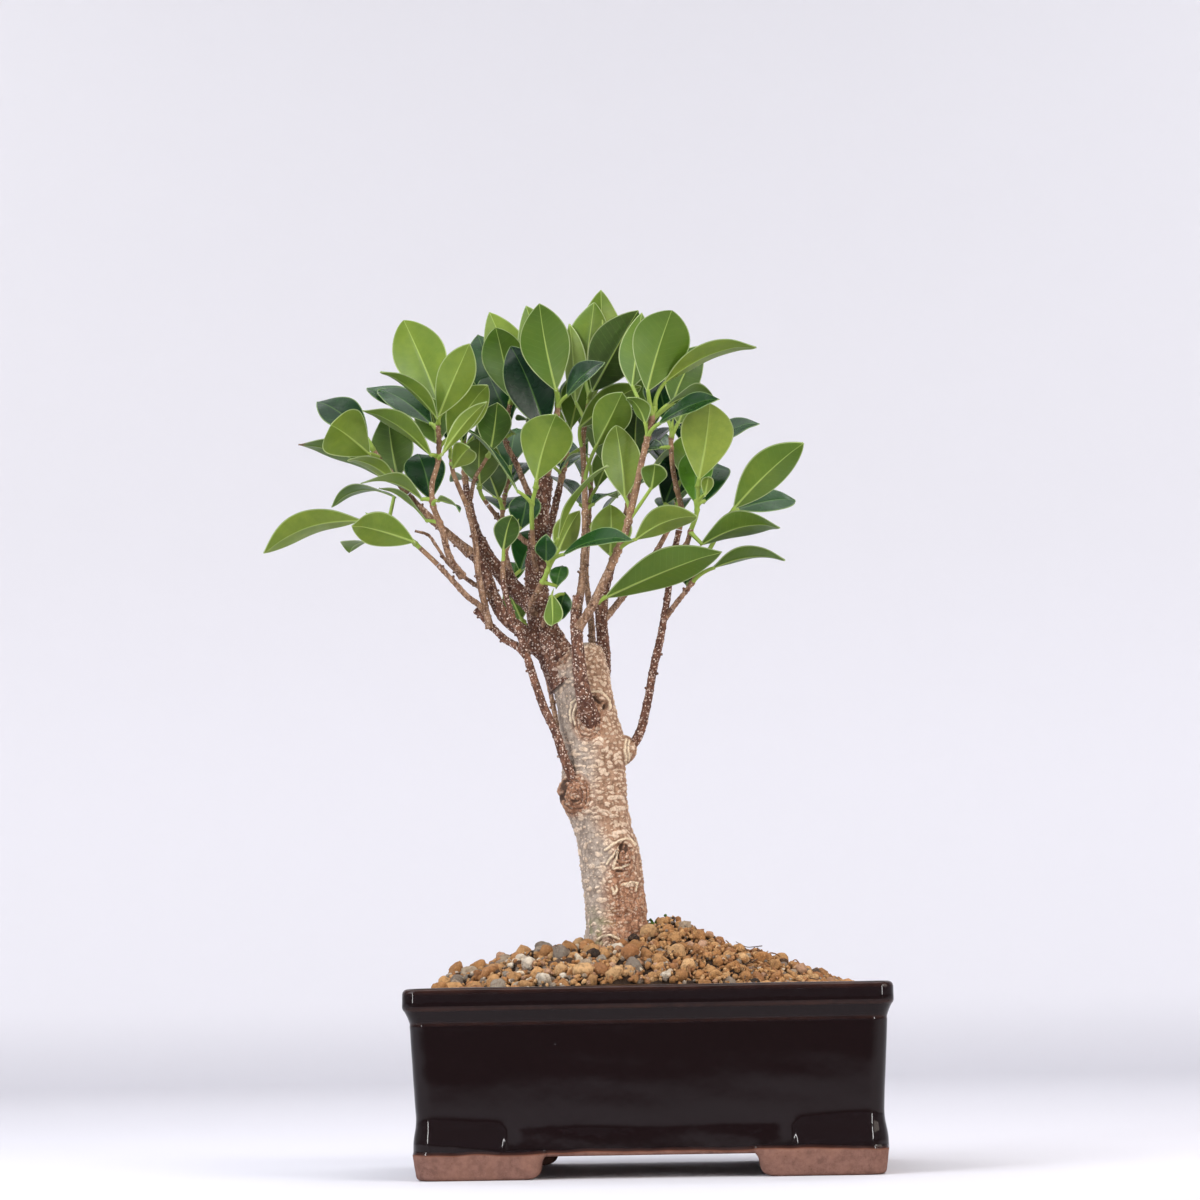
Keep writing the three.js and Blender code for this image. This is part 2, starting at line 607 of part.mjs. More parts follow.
function pot() {
  const lipBottom = POT_HEIGHT - RIM_BAND;
  const wall = loft([
    potRing(BODY_FOOT_INSET + 2.5, CORNER_RADIUS - 2, FLOOR_UNDERSIDE),
    potRing(BODY_FOOT_INSET, CORNER_RADIUS, FLOOR_UNDERSIDE + 1.5),
    potRing(BODY_FOOT_INSET - 0.1, CORNER_RADIUS, 24),
    potRing(BODY_TOP_INSET + 0.2, CORNER_RADIUS, BODY_TOP - 1),
    potRing(BODY_TOP_INSET, CORNER_RADIUS - 1, BODY_TOP + 0.5),
    potRing(BODY_TOP_INSET - 0.5, CORNER_RADIUS - 1, BODY_TOP + COVE / 2),
    potRing(1.3, CORNER_RADIUS - 1, lipBottom - 0.6),
    potRing(0, CORNER_RADIUS - 1, lipBottom + 1.6),
    potRing(0, CORNER_RADIUS - 1, POT_HEIGHT - 2),
    potRing(0.6, CORNER_RADIUS - 1.5, POT_HEIGHT - 0.6),
    potRing(2, CORNER_RADIUS - 2, POT_HEIGHT),
    potRing(LIP - 1.2, 6, POT_HEIGHT),
    potRing(LIP, 6, POT_HEIGHT - 1.2),
    potRing(innerInset(FLOOR_TOP), 6, FLOOR_TOP),
  ]);
  const feet = [[1, 1], [-1, 1], [-1, -1], [1, -1]].map(foot);
  return join([wall, ...feet])
    .subtract(drainHole(-DRAIN_SPACING / 2))
    .subtract(drainHole(DRAIN_SPACING / 2));
}

// ---------------------------------------------------------------- drain mesh and clips

const MESH_BOTTOM = FLOOR_TOP + GAP;
const CLIP_HALF_SPAN = 2.8; // both legs pass through the middle opening of the mesh
const CLIP_REACH = 15; // how far each leg reaches out under the floor

function slab(width, depth, height) {
  const box = new THREE.BoxGeometry(width, depth, height);
  box.translate(0, 0, height / 2);
  return box;
}

function drainMesh() {
  const pitch = MESH_SIZE / MESH_HOLES_PER_SIDE;
  const holes = [];
  for (let column = 0; column < MESH_HOLES_PER_SIDE; column++) {
    for (let row = 0; row < MESH_HOLES_PER_SIDE; row++) {
      const hole = slab(MESH_HOLE, MESH_HOLE, MESH_THICKNESS * 3);
      hole.translate(
        pitch * (column + 0.5) - MESH_SIZE / 2,
        pitch * (row + 0.5) - MESH_SIZE / 2,
        -MESH_THICKNESS,
      );
      holes.push(solid(hole));
    }
  }
  return solid(slab(MESH_SIZE, MESH_SIZE, MESH_THICKNESS)).subtract(join(holes));
}

// A bridge of wire over the mesh, whose two legs go down the drain hole and turn outwards under the floor.
function clip() {
  const over = MESH_THICKNESS + GAP + CLIP_WIRE / 2;
  const under = FLOOR_UNDERSIDE - MESH_BOTTOM - GAP - CLIP_WIRE / 2;
  const half = [
    [CLIP_HALF_SPAN, over],
    [CLIP_HALF_SPAN, over - 0.8],
    [CLIP_HALF_SPAN, -2],
    [CLIP_HALF_SPAN, under + 2],
    [7, under],
    [CLIP_REACH, under],
  ];
  const points = [...half.map(([x, z]) => [-x, z]).reverse(), ...half];
  const path = curveThrough(points.map(([x, z]) => new THREE.Vector3(x, 0, z)));
  return tube(path, () => CLIP_WIRE / 2, { steps: 14, sides: 4 });
}

// ---------------------------------------------------------------- the wood

const widthAt = (y, left, right) => seen(right, y, 0).distanceTo(seen(left, y, 0));

// The trunk, with three root buttresses swelling towards the soil. `grow` widens it all round.
function trunk(grow = 0) {
  const sides = 12;
  const soilLine = TRUNK_FOOT.z;
  const rings = TRUNK.map(([y, left, right]) => {
    const middle = seen((left + right) / 2, y, 0);
    const radius = widthAt(y, left, right) / 2;
    const flare = THREE.MathUtils.clamp((soilLine + BUTTRESS.above - middle.z) / BUTTRESS.fade, 0, 1);
    const ring = [];
    for (let i = 0; i < sides; i++) {
      const angle = (i / sides) * 2 * Math.PI;
      const buttress = BUTTRESS.swell * flare * Math.cos(BUTTRESS.count * angle + BUTTRESS.phase);
      const unevenness = 0.02 * Math.sin(5 * angle + middle.z / 6);
      const reach = radius * (1 + buttress + unevenness) + grow;
      ring.push(new THREE.Vector3(
        middle.x + reach * Math.cos(angle),
        middle.y + reach * Math.sin(angle),
        middle.z,
      ));
    }
    return ring;
  });
  return loft(rings);
}

function knot([x, y, depth, halfWidth, halfHeight, halfThickness]) {
  const lump = new THREE.IcosahedronGeometry(1, 1);
  lump.scale(halfWidth, halfThickness, halfHeight);
  const place = seen(x, y, depth);
  lump.translate(place.x, place.y, place.z);
  return solid(lump);
}

function limb([startRadius, endRadius, points]) {
  const curve = curveThrough(points.map((p) => seen(...p)));
  const radiusAt = (place) => THREE.MathUtils.lerp(startRadius, endRadius, Math.sqrt(place));
  return tube(curve, radiusAt, { steps: points.length + 1, sides: 6 });
}

// The curve of a twig, its radius along it, and the place where its wood ends and its shoot begins.
function layOut(twig) {
  const curve = curveThrough(twig.points.map((p) => seen(...p)));
  const [startRadius, tipRadius] = twig.radius;
  const radiusAt = (place) => THREE.MathUtils.lerp(startRadius, tipRadius, place);
  const lengths = curve.getLengths(400);
  const total = lengths.at(-1);
  const splitIndex = Math.round((400 * (twig.wood - 1)) / (twig.points.length - 1));
  const split = lengths[splitIndex] / total;
  return { curve, radiusAt, split, shootStart: split + GAP / total };
}

function twigWood(twig) {
  const { curve, radiusAt, split } = layOut(twig);
  return tube(curve, radiusAt, { steps: Math.max(2, twig.wood - 1), sides: 5, to: split });
}

function wood() {
  return join([
    trunk(),
    ...KNOTS.map(knot),
    ...Object.values(LIMBS).map(limb),
    ...Object.values(TWIGS).map(twigWood),
  ]);
}

// ---------------------------------------------------------------- leaves

// Half the width of a leaf at a place along it: widest a little past the middle, with a short point.
function halfWidthAt(place, width, widest = 0.54) {
  const power = Math.log(0.5) / Math.log(widest);
  return (width / 2) * Math.sin(Math.PI * place ** power) ** 0.8;
}

// A leaf with its stalk, as one thin arched solid. `face` points out of the upper side of the blade.
function leafSolid({ base, tip, face, width, arch }, stemPoint, stemDirection) {
  const along = tip.clone().sub(base);
  const axis = along.clone().normalize();
  const out = face.clone().addScaledVector(axis, -face.dot(axis)).normalize();
  const side = new THREE.Vector3().crossVectors(out, axis);
  const section = (middle, across, upward, halfBreadth, halfThickness) => (
    [[-1, -1], [1, -1], [1, 1], [-1, 1]].map(([i, j]) => middle.clone()
      .addScaledVector(across, i * halfBreadth)
      .addScaledVector(upward, j * halfThickness))
  );
  const blade = [0.03, 0.24, 0.52, 0.8, 1].map((place) => section(
    base.clone().addScaledVector(along, place).addScaledVector(out, arch * Math.sin(Math.PI * place)),
    side,
    out,
    Math.max(BLADE_TIP / 2, halfWidthAt(place, width)),
    BLADE_THICKNESS / 2,
  ));
  const reach = stemPoint.distanceTo(base);
  const bend = stemPoint.clone().addScaledVector(stemDirection, reach * 0.35)
    .lerp(base.clone().addScaledVector(axis, -reach * 0.35), 0.5);
  const stalkCurve = new THREE.QuadraticBezierCurve3(stemPoint, bend, base);
  const stalk = [];
  let across = side;
  for (const share of reach > LONG_STALK ? [0.5, 0] : [0]) {
    const tangent = stalkCurve.getTangent(share);
    across = across.clone().addScaledVector(tangent, -across.dot(tangent)).normalize();
    const upward = new THREE.Vector3().crossVectors(tangent, across);
    stalk.unshift(section(stalkCurve.getPoint(share), across, upward, STALK_HALF, STALK_HALF));
  }
  return loft([...stalk, ...blade]);
}

// A leaf of the front view: turned about its midrib from facing the viewer (0) through up (90) to away (180).
function viewLeaf([place, bx, by, bd, tx, ty, td, width, turn, arch]) {
  const base = seen(bx, by, bd);
  const tip = seen(tx, ty, td);
  const axis = tip.clone().sub(base).normalize();
  const toViewer = VIEW.eye.clone().sub(base);
  toViewer.addScaledVector(axis, -toViewer.dot(axis)).normalize();
  const upward = new THREE.Vector3().crossVectors(axis, toViewer);
  if (upward.z < 0) upward.negate();
  const angle = THREE.MathUtils.degToRad(turn);
  const face = toViewer.multiplyScalar(Math.cos(angle)).addScaledVector(upward, Math.sin(angle));
  return { place, base, tip, face, width, arch };
}

// Points spread over a leaf's blade, which tell whether another leaf would come too close.
function bladePoints({ base, tip, face, width, arch }) {
  const along = tip.clone().sub(base);
  const axis = along.clone().normalize();
  const out = face.clone().addScaledVector(axis, -face.dot(axis)).normalize();
  const side = new THREE.Vector3().crossVectors(out, axis);
  const points = [];
  for (const place of [0.05, 0.2, 0.35, 0.5, 0.65, 0.8, 0.95]) {
    for (const across of [-0.8, 0, 0.8]) {
      points.push(base.clone()
        .addScaledVector(along, place)
        .addScaledVector(out, arch * Math.sin(Math.PI * place))
        .addScaledVector(side, across * halfWidthAt(place, width)));
    }
  }
  return points;
}

const isClear = (points, taken) => (
  points.every((point) => taken.every((other) => point.distanceTo(other) > LEAF_CLEARANCE))
);

// Leaves set round a shoot by rule, each a golden angle on from the last, closing up towards its tip. A leaf
// turns further round until it is clear of those already there and stays inside the crown's outline.
function whorlLeaves({ curve, shootStart }, { leaves, length, width, from, lean, seed }, taken) {
  const random = seededRandom(seed);
  const startAngle = random() * 2 * Math.PI;
  const made = [];
  for (let i = 0; i < leaves; i++) {
    const share = i / (leaves - 1);
    const place = THREE.MathUtils.lerp(from, 1, share);
    const stem = curve.getPointAt(THREE.MathUtils.lerp(shootStart, 1, place));
    const along = curve.getTangentAt(THREE.MathUtils.lerp(shootStart, 1, place));
    const size = 0.88 + random() * 0.24;
    for (let attempt = 0; attempt < WHORL.attempts; attempt++) {
      const angle = startAngle + i * GOLDEN_ANGLE + attempt * WHORL.turn;
      const sideways = new THREE.Vector3(Math.cos(angle), Math.sin(angle), 0);
      const scatter = (random() - 0.5) * WHORL.scatter;
      const tilt = THREE.MathUtils.degToRad(lean + WHORL.openness - WHORL.closing * share + scatter);
      const heading = along.clone().lerp(new THREE.Vector3(0, 0, 1), WHORL.upright).normalize()
        .multiplyScalar(Math.cos(tilt)).addScaledVector(sideways, Math.sin(tilt)).normalize();
      const base = stem.clone().addScaledVector(heading, WHORL.stalk).add(new THREE.Vector3(0, 0, 1));
      const tip = base.clone().addScaledVector(heading, length * size);
      tip.z -= WHORL.droop * Math.sin(tilt);
      const face = new THREE.Vector3(0, 0, 1).addScaledVector(sideways, -0.25);
      const leaf = { place, base, tip, face, width: width * size, arch: WHORL.arch };
      const points = bladePoints(leaf);
      if (isClear(points, taken) && points.every(isInCrown)) {
        taken.push(...points);
        made.push(leaf);
        break;
      }
    }
  }
  return made;
}

// Every twig that bears leaves, with its leaves: first those of the front view, then those set by rule.
function leafTwigs() {
  const bearing = Object.entries(TWIGS).filter(([, twig]) => twig.whorl || twig.leaves.length > 0);
  const laidOut = bearing.map(([name, twig]) => ({ name, twig, ...layOut(twig), leaves: [] }));
  const taken = [];
  for (const item of laidOut) {
    for (let i = 0; i <= 12; i++) taken.push(item.curve.getPointAt(i / 12));
    item.leaves = (item.twig.leaves ?? []).map(viewLeaf);
    taken.push(...item.leaves.flatMap(bladePoints));
  }
  for (const item of laidOut) {
    if (item.twig.whorl) item.leaves.push(...whorlLeaves(item, item.twig.whorl, taken));
  }
  return laidOut;
}

function shoot({ twig, curve, radiusAt, shootStart, leaves }) {
  const stemSteps = Math.max(3, twig.points.length - twig.wood);
  const parts = [tube(curve, radiusAt, { steps: stemSteps, sides: 5, from: shootStart })];
  for (const leaf of leaves) {
    const place = THREE.MathUtils.lerp(shootStart, 1, THREE.MathUtils.clamp(leaf.place, 0.04, 0.985));
    parts.push(leafSolid(leaf, curve.getPointAt(place), curve.getTangentAt(place)));
  }
  return join(parts);
}

// ---------------------------------------------------------------- the soil

function mound(x, y) {
  const broad = Math.hypot((x - MOUND.middleX) / MOUND.halfWidth, y / MOUND.halfDepth);
  const close = Math.hypot(x - MOUND.peakX, y) / MOUND.peakReach;
  const rise = SOIL_MOUND * Math.max(0, 1 - broad ** MOUND.steepness);
  return SOIL_EDGE + rise + SOIL_PEAK * Math.exp(-(close ** 2));
}

// The soil's surface is a grid of points drawn a little out of line. Every other one is the top of a large
// grain and stands up, and those between lie low. Both die away where the soil is level with the rim.
function grainPoints() {
  const random = seededRandom(GRAIN_GRID.seed);
  const points = [];
  for (let row = 0; row <= GRAIN_GRID.rows; row++) {
    for (let column = 0; column <= GRAIN_GRID.columns; column++) {
      const isBorder = row % GRAIN_GRID.rows === 0 || column % GRAIN_GRID.columns === 0;
      const shift = isBorder ? 0 : GRAIN_GRID.jitter;
      const x = (column - GRAIN_GRID.columns / 2) * GRAIN_GRID.pitch + shift * (2 * random() - 1);
      const y = (row - GRAIN_GRID.rows / 2) * GRAIN_GRID.pitch + shift * (2 * random() - 1);
      const relief = GRAIN_GRID.relief * (0.5 + 0.5 * random()) * ((row + column) % 2 === 0 ? 1 : -1);
      const level = mound(x, y);
      const fade = Math.min(1, GRAIN_GRID.atRim + (level - SOIL_EDGE) / GRAIN_GRID.fadeRise);
      points.push(new THREE.Vector3(x, y, level + relief * fade));
    }
  }
  return points;
}

// A block with the grainy surface on top, cut to the inside of the pot.
function soil() {
  const { columns, rows, pitch } = GRAIN_GRID;
  const block = new THREE.BoxGeometry(columns * pitch, rows * pitch, 2, columns, rows, 1);
  const points = grainPoints();
  const corners = block.getAttribute('position');
  for (let i = 0; i < corners.count; i++) {
    const column = Math.round(corners.getX(i) / pitch + columns / 2);
    const row = Math.round(corners.getY(i) / pitch + rows / 2);
    const point = points[row * (columns + 1) + column];
    if (corners.getZ(i) > 0) corners.setXYZ(i, point.x, point.y, point.z);
  }
  const ring = (inset, z) => roundedRectangle(POT_WIDTH / 2 - inset, POT_DEPTH / 2 - inset, 5.5, z);
  const room = loft([
    ring(innerInset(FLOOR_TOP + GAP) + GAP, FLOOR_TOP + GAP),
    ring(innerInset(SOIL_EDGE - 1.5) + GAP, SOIL_EDGE - 1.5),
    ring(LIP + GAP, SOIL_EDGE),
    ring(LIP + GAP, SOIL_EDGE + 2 * (SOIL_MOUND + SOIL_PEAK)),
  ]);
  const pocketHeight = MESH_THICKNESS + CLIP_WIRE + 2 * GAP;
  const pockets = [-1, 1].map((sign) => {
    const box = new THREE.BoxGeometry(MESH_SIZE + 2 * GAP, MESH_SIZE + 2 * GAP, 2 * (pocketHeight + GAP));
    box.translate((sign * DRAIN_SPACING) / 2, 0, FLOOR_TOP + GAP);
    return solid(box);
  });
  return room.intersect(solid(block)).subtract(join(pockets)).subtract(trunk(GAP));
}

// ---------------------------------------------------------------- the assembly

const FINISH = {
  glaze: { color: 0x1f1714, roughness: 0.16, metalness: 0 },
  plasticMesh: { color: 0x1b1c1a, roughness: 0.6, metalness: 0 },
  wire: { color: 0xa9a49a, roughness: 0.4, metalness: 0.9 },
  soil: { color: 0x8a6a4a, roughness: 0.95, metalness: 0 },
  bark: { color: 0x8f755c, roughness: 0.85, metalness: 0 },
  leaf: { color: 0x4d7a2c, roughness: 0.35, metalness: 0 },
};

const plant = new THREE.Group();

function place(name, geometry, finish, position = [0, 0, 0]) {
  const mesh = new THREE.Mesh(geometry, new THREE.MeshStandardMaterial(finish));
  mesh.name = name;
  mesh.position.set(...position);
  plant.add(mesh);
}

place('pot', geometryOf(pot()), FINISH.glaze);
for (const [side, sign] of [['left', -1], ['right', 1]]) {
  const x = (sign * DRAIN_SPACING) / 2;
  place(`drain_mesh_${side}`, geometryOf(drainMesh()), FINISH.plasticMesh, [x, 0, MESH_BOTTOM]);
  place(`mesh_clip_${side}`, geometryOf(clip()), FINISH.wire, [x, 0, MESH_BOTTOM]);
}
place('soil', geometryOf(soil()), FINISH.soil);
place('wood', geometryOf(wood()), FINISH.bark);
for (const item of leafTwigs()) place(`shoot_${item.name}`, geometryOf(shoot(item)), FINISH.leaf);

// The origin is under the middle of the whole plant's box, at the height of its feet.
const box = new THREE.Box3().setFromObject(plant, true);
plant.position.set(-(box.min.x + box.max.x) / 2, -(box.min.y + box.max.y) / 2, -box.min.z);

const bonsai = new THREE.Group();
bonsai.add(plant);

export default bonsai;
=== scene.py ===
"""The looks of a small fig trained as a bonsai in a glazed pot. Lengths are in millimetres in a frame centred
under the pot, until a mesh is made: then they are metres in the model's frame."""

import math

import bmesh
import bpy
import numpy as np
from mathutils import Matrix, Vector


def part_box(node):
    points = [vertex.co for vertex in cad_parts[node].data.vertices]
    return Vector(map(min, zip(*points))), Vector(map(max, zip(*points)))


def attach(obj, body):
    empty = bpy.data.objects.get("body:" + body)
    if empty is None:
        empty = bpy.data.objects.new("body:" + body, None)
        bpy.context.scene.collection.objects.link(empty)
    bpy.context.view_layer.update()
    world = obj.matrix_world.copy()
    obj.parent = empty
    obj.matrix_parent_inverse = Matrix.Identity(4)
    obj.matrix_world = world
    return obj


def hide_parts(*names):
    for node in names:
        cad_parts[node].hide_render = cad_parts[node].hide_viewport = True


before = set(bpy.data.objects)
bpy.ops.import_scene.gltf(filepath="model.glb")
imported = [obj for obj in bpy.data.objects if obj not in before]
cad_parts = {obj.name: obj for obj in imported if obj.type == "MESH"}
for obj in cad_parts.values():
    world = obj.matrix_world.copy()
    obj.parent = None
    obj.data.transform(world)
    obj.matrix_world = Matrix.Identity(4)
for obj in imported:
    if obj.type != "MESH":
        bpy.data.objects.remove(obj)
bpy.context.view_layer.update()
POT_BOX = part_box("pot")
ORIGIN = np.array([(POT_BOX[0].x + POT_BOX[1].x) / 2, (POT_BOX[0].y + POT_BOX[1].y) / 2, 0.0])


# ---------------------------------------------------------------- dimensions (mm), as in the solids

GAP = 0.3
POT_WIDTH, POT_DEPTH, POT_HEIGHT = 207, 150, 80
POT_WALL = 7
RIM_BAND = 9.6
COVE = 5.3
BODY_TOP_INSET = 2.7
BODY_FOOT_INSET = 5.2
LIP = 9.5
FLOOR_UNDERSIDE = 9.5
FLOOR_THICKNESS = 6.5
FLOOR_TOP = FLOOR_UNDERSIDE + FLOOR_THICKNESS
BODY_TOP = POT_HEIGHT - RIM_BAND - COVE
CORNER_RADIUS = 8
FOOT_LENGTH = 57
FOOT_SIDE_LENGTH = 42
FOOT_THICKNESS = 14
FOOT_HEIGHT = 10.7
FOOT_PROUD = 1.6
FOOT_SLOPE = 1.6
FOOT_ROUNDING = 1.8
FOOT_FADE = 27
DRAIN_DIAMETER = 17
DRAIN_SPACING = 92

SOIL_EDGE = 78.6
SOIL_MOUND = 20
SOIL_PEAK = 11
MOUND = {"middle_x": -8, "half_width": 97, "half_depth": 70, "steepness": 2.2, "peak_x": 10, "peak_reach": 17}
GRAIN_GRID = {
    "pitch": 9.6, "columns": 20, "rows": 14, "jitter": 2.2, "relief": 2.4, "reach": 4.4, "at_rim": 0.3,
    "fade_rise": 8, "seed": 5,
}
BUTTRESS = {"count": 3, "swell": 0.16, "above": 14, "fade": 30, "phase": 0.6}

LEAF_CLEARANCE = 4.6
GOLDEN_ANGLE = 2.4
WHORL = {
    "attempts": 14, "turn": 0.45, "openness": 10, "closing": 34, "scatter": 20, "upright": 0.6,
    "stalk": 7, "droop": 4, "arch": 2.5,
}


# ---------------------------------------------------------------- the tree, in front view

# TRUNK: [y, left x, right x]. KNOTS: [x, y, depth, half width, half height, half thickness]. LIMBS: radius at
# both ends and [x, y, depth] points. TWIGS: "wood" is the number of points up to the end of the brown wood.
# A leaf is [place on the stem, base x, y, depth, tip x, y, depth, width, turn in degrees, arch, shade from
# -1 dark to 1 light, which is the leaf's own tone together with painted light and shade as it fell on each
# leaf, share of olive, 1 if blunt and widest past the middle]. Some leaves lie a few millimetres off their
# solids, to follow the front view more closely.
TRUNK = [
    [1000, 572, 662], [975, 574, 660], [950, 581, 653], [930, 584.5, 647], [904, 585, 645], [888, 583, 643.5],
    [865, 581, 641.5], [847, 579, 638.6], [826, 573, 631], [805, 562, 627], [790, 559, 626],
    [774, 563, 625.6], [745, 562, 626], [730, 559.6, 621], [703, 556.7, 614], [683, 553, 611],
    [664, 551, 606.5], [650, 565, 602], [643, 580, 597],
]

KNOTS = [
    [591, 708, -8.5, 8, 9, 5.5],
    [574, 793, -7, 7, 9, 7],
    [622, 860, -8, 6.5, 9, 5],
    [621, 750, -1, 7, 7, 6],
    [600, 905, 9, 6, 11, 8],
]

LIMBS = {
    "leader": [9.2, 3.3, [[572, 680, 0], [556, 655, 0], [545, 632, 1], [538, 605, 3], [536, 575, 4],
        [538, 540, 4], [542, 505, 3], [546, 478, 0]]],
    "crotch": [4.4, 3.2, [[541, 612, 3], [520, 594, 6], [500, 572, 9], [486, 555, 11], [479, 540, 13]]],
    "lowLeft": [3.8, 2.4, [[549, 645, 0], [524, 632, -3], [505, 617, -5], [494, 598, -4], [487, 578, -1],
        [479, 561, 2], [466, 549, 0]]],
    "front": [4.4, 2.3, [[592, 722, -9], [588, 712, -13], [584, 697, -17], [581, 680, -18.5], [578, 650, -19],
        [576, 620, -19], [578, 596, -18]]],
    "behindRight": [3.4, 2.5, [[600, 684, 4], [604, 664, 9], [603, 640, 12], [601, 620, 14], [600, 600, 17]]],
    "lowestLeft": [2.4, 1.7, [[582, 795, -3], [572, 777, -11], [563, 755, -13], [556, 733, -13],
        [545, 710, -12], [537, 688, -11], [530, 666, -12], [524, 648, -13]]],
    "leftBough": [1.8, 1.5, [[527, 655, -12], [518, 647, -11], [506, 640, -9], [496, 631, -7], [487, 622, -7],
        [480, 614, -8], [475, 610, -8]]],
    "stub": [2, 1.4, [[538, 600, 4], [530, 588, 2], [529, 579, 0]]],
    "oldCut": [4.5, 3, [[547, 652, 0], [536, 646, -2], [529, 640, -4]]],
}

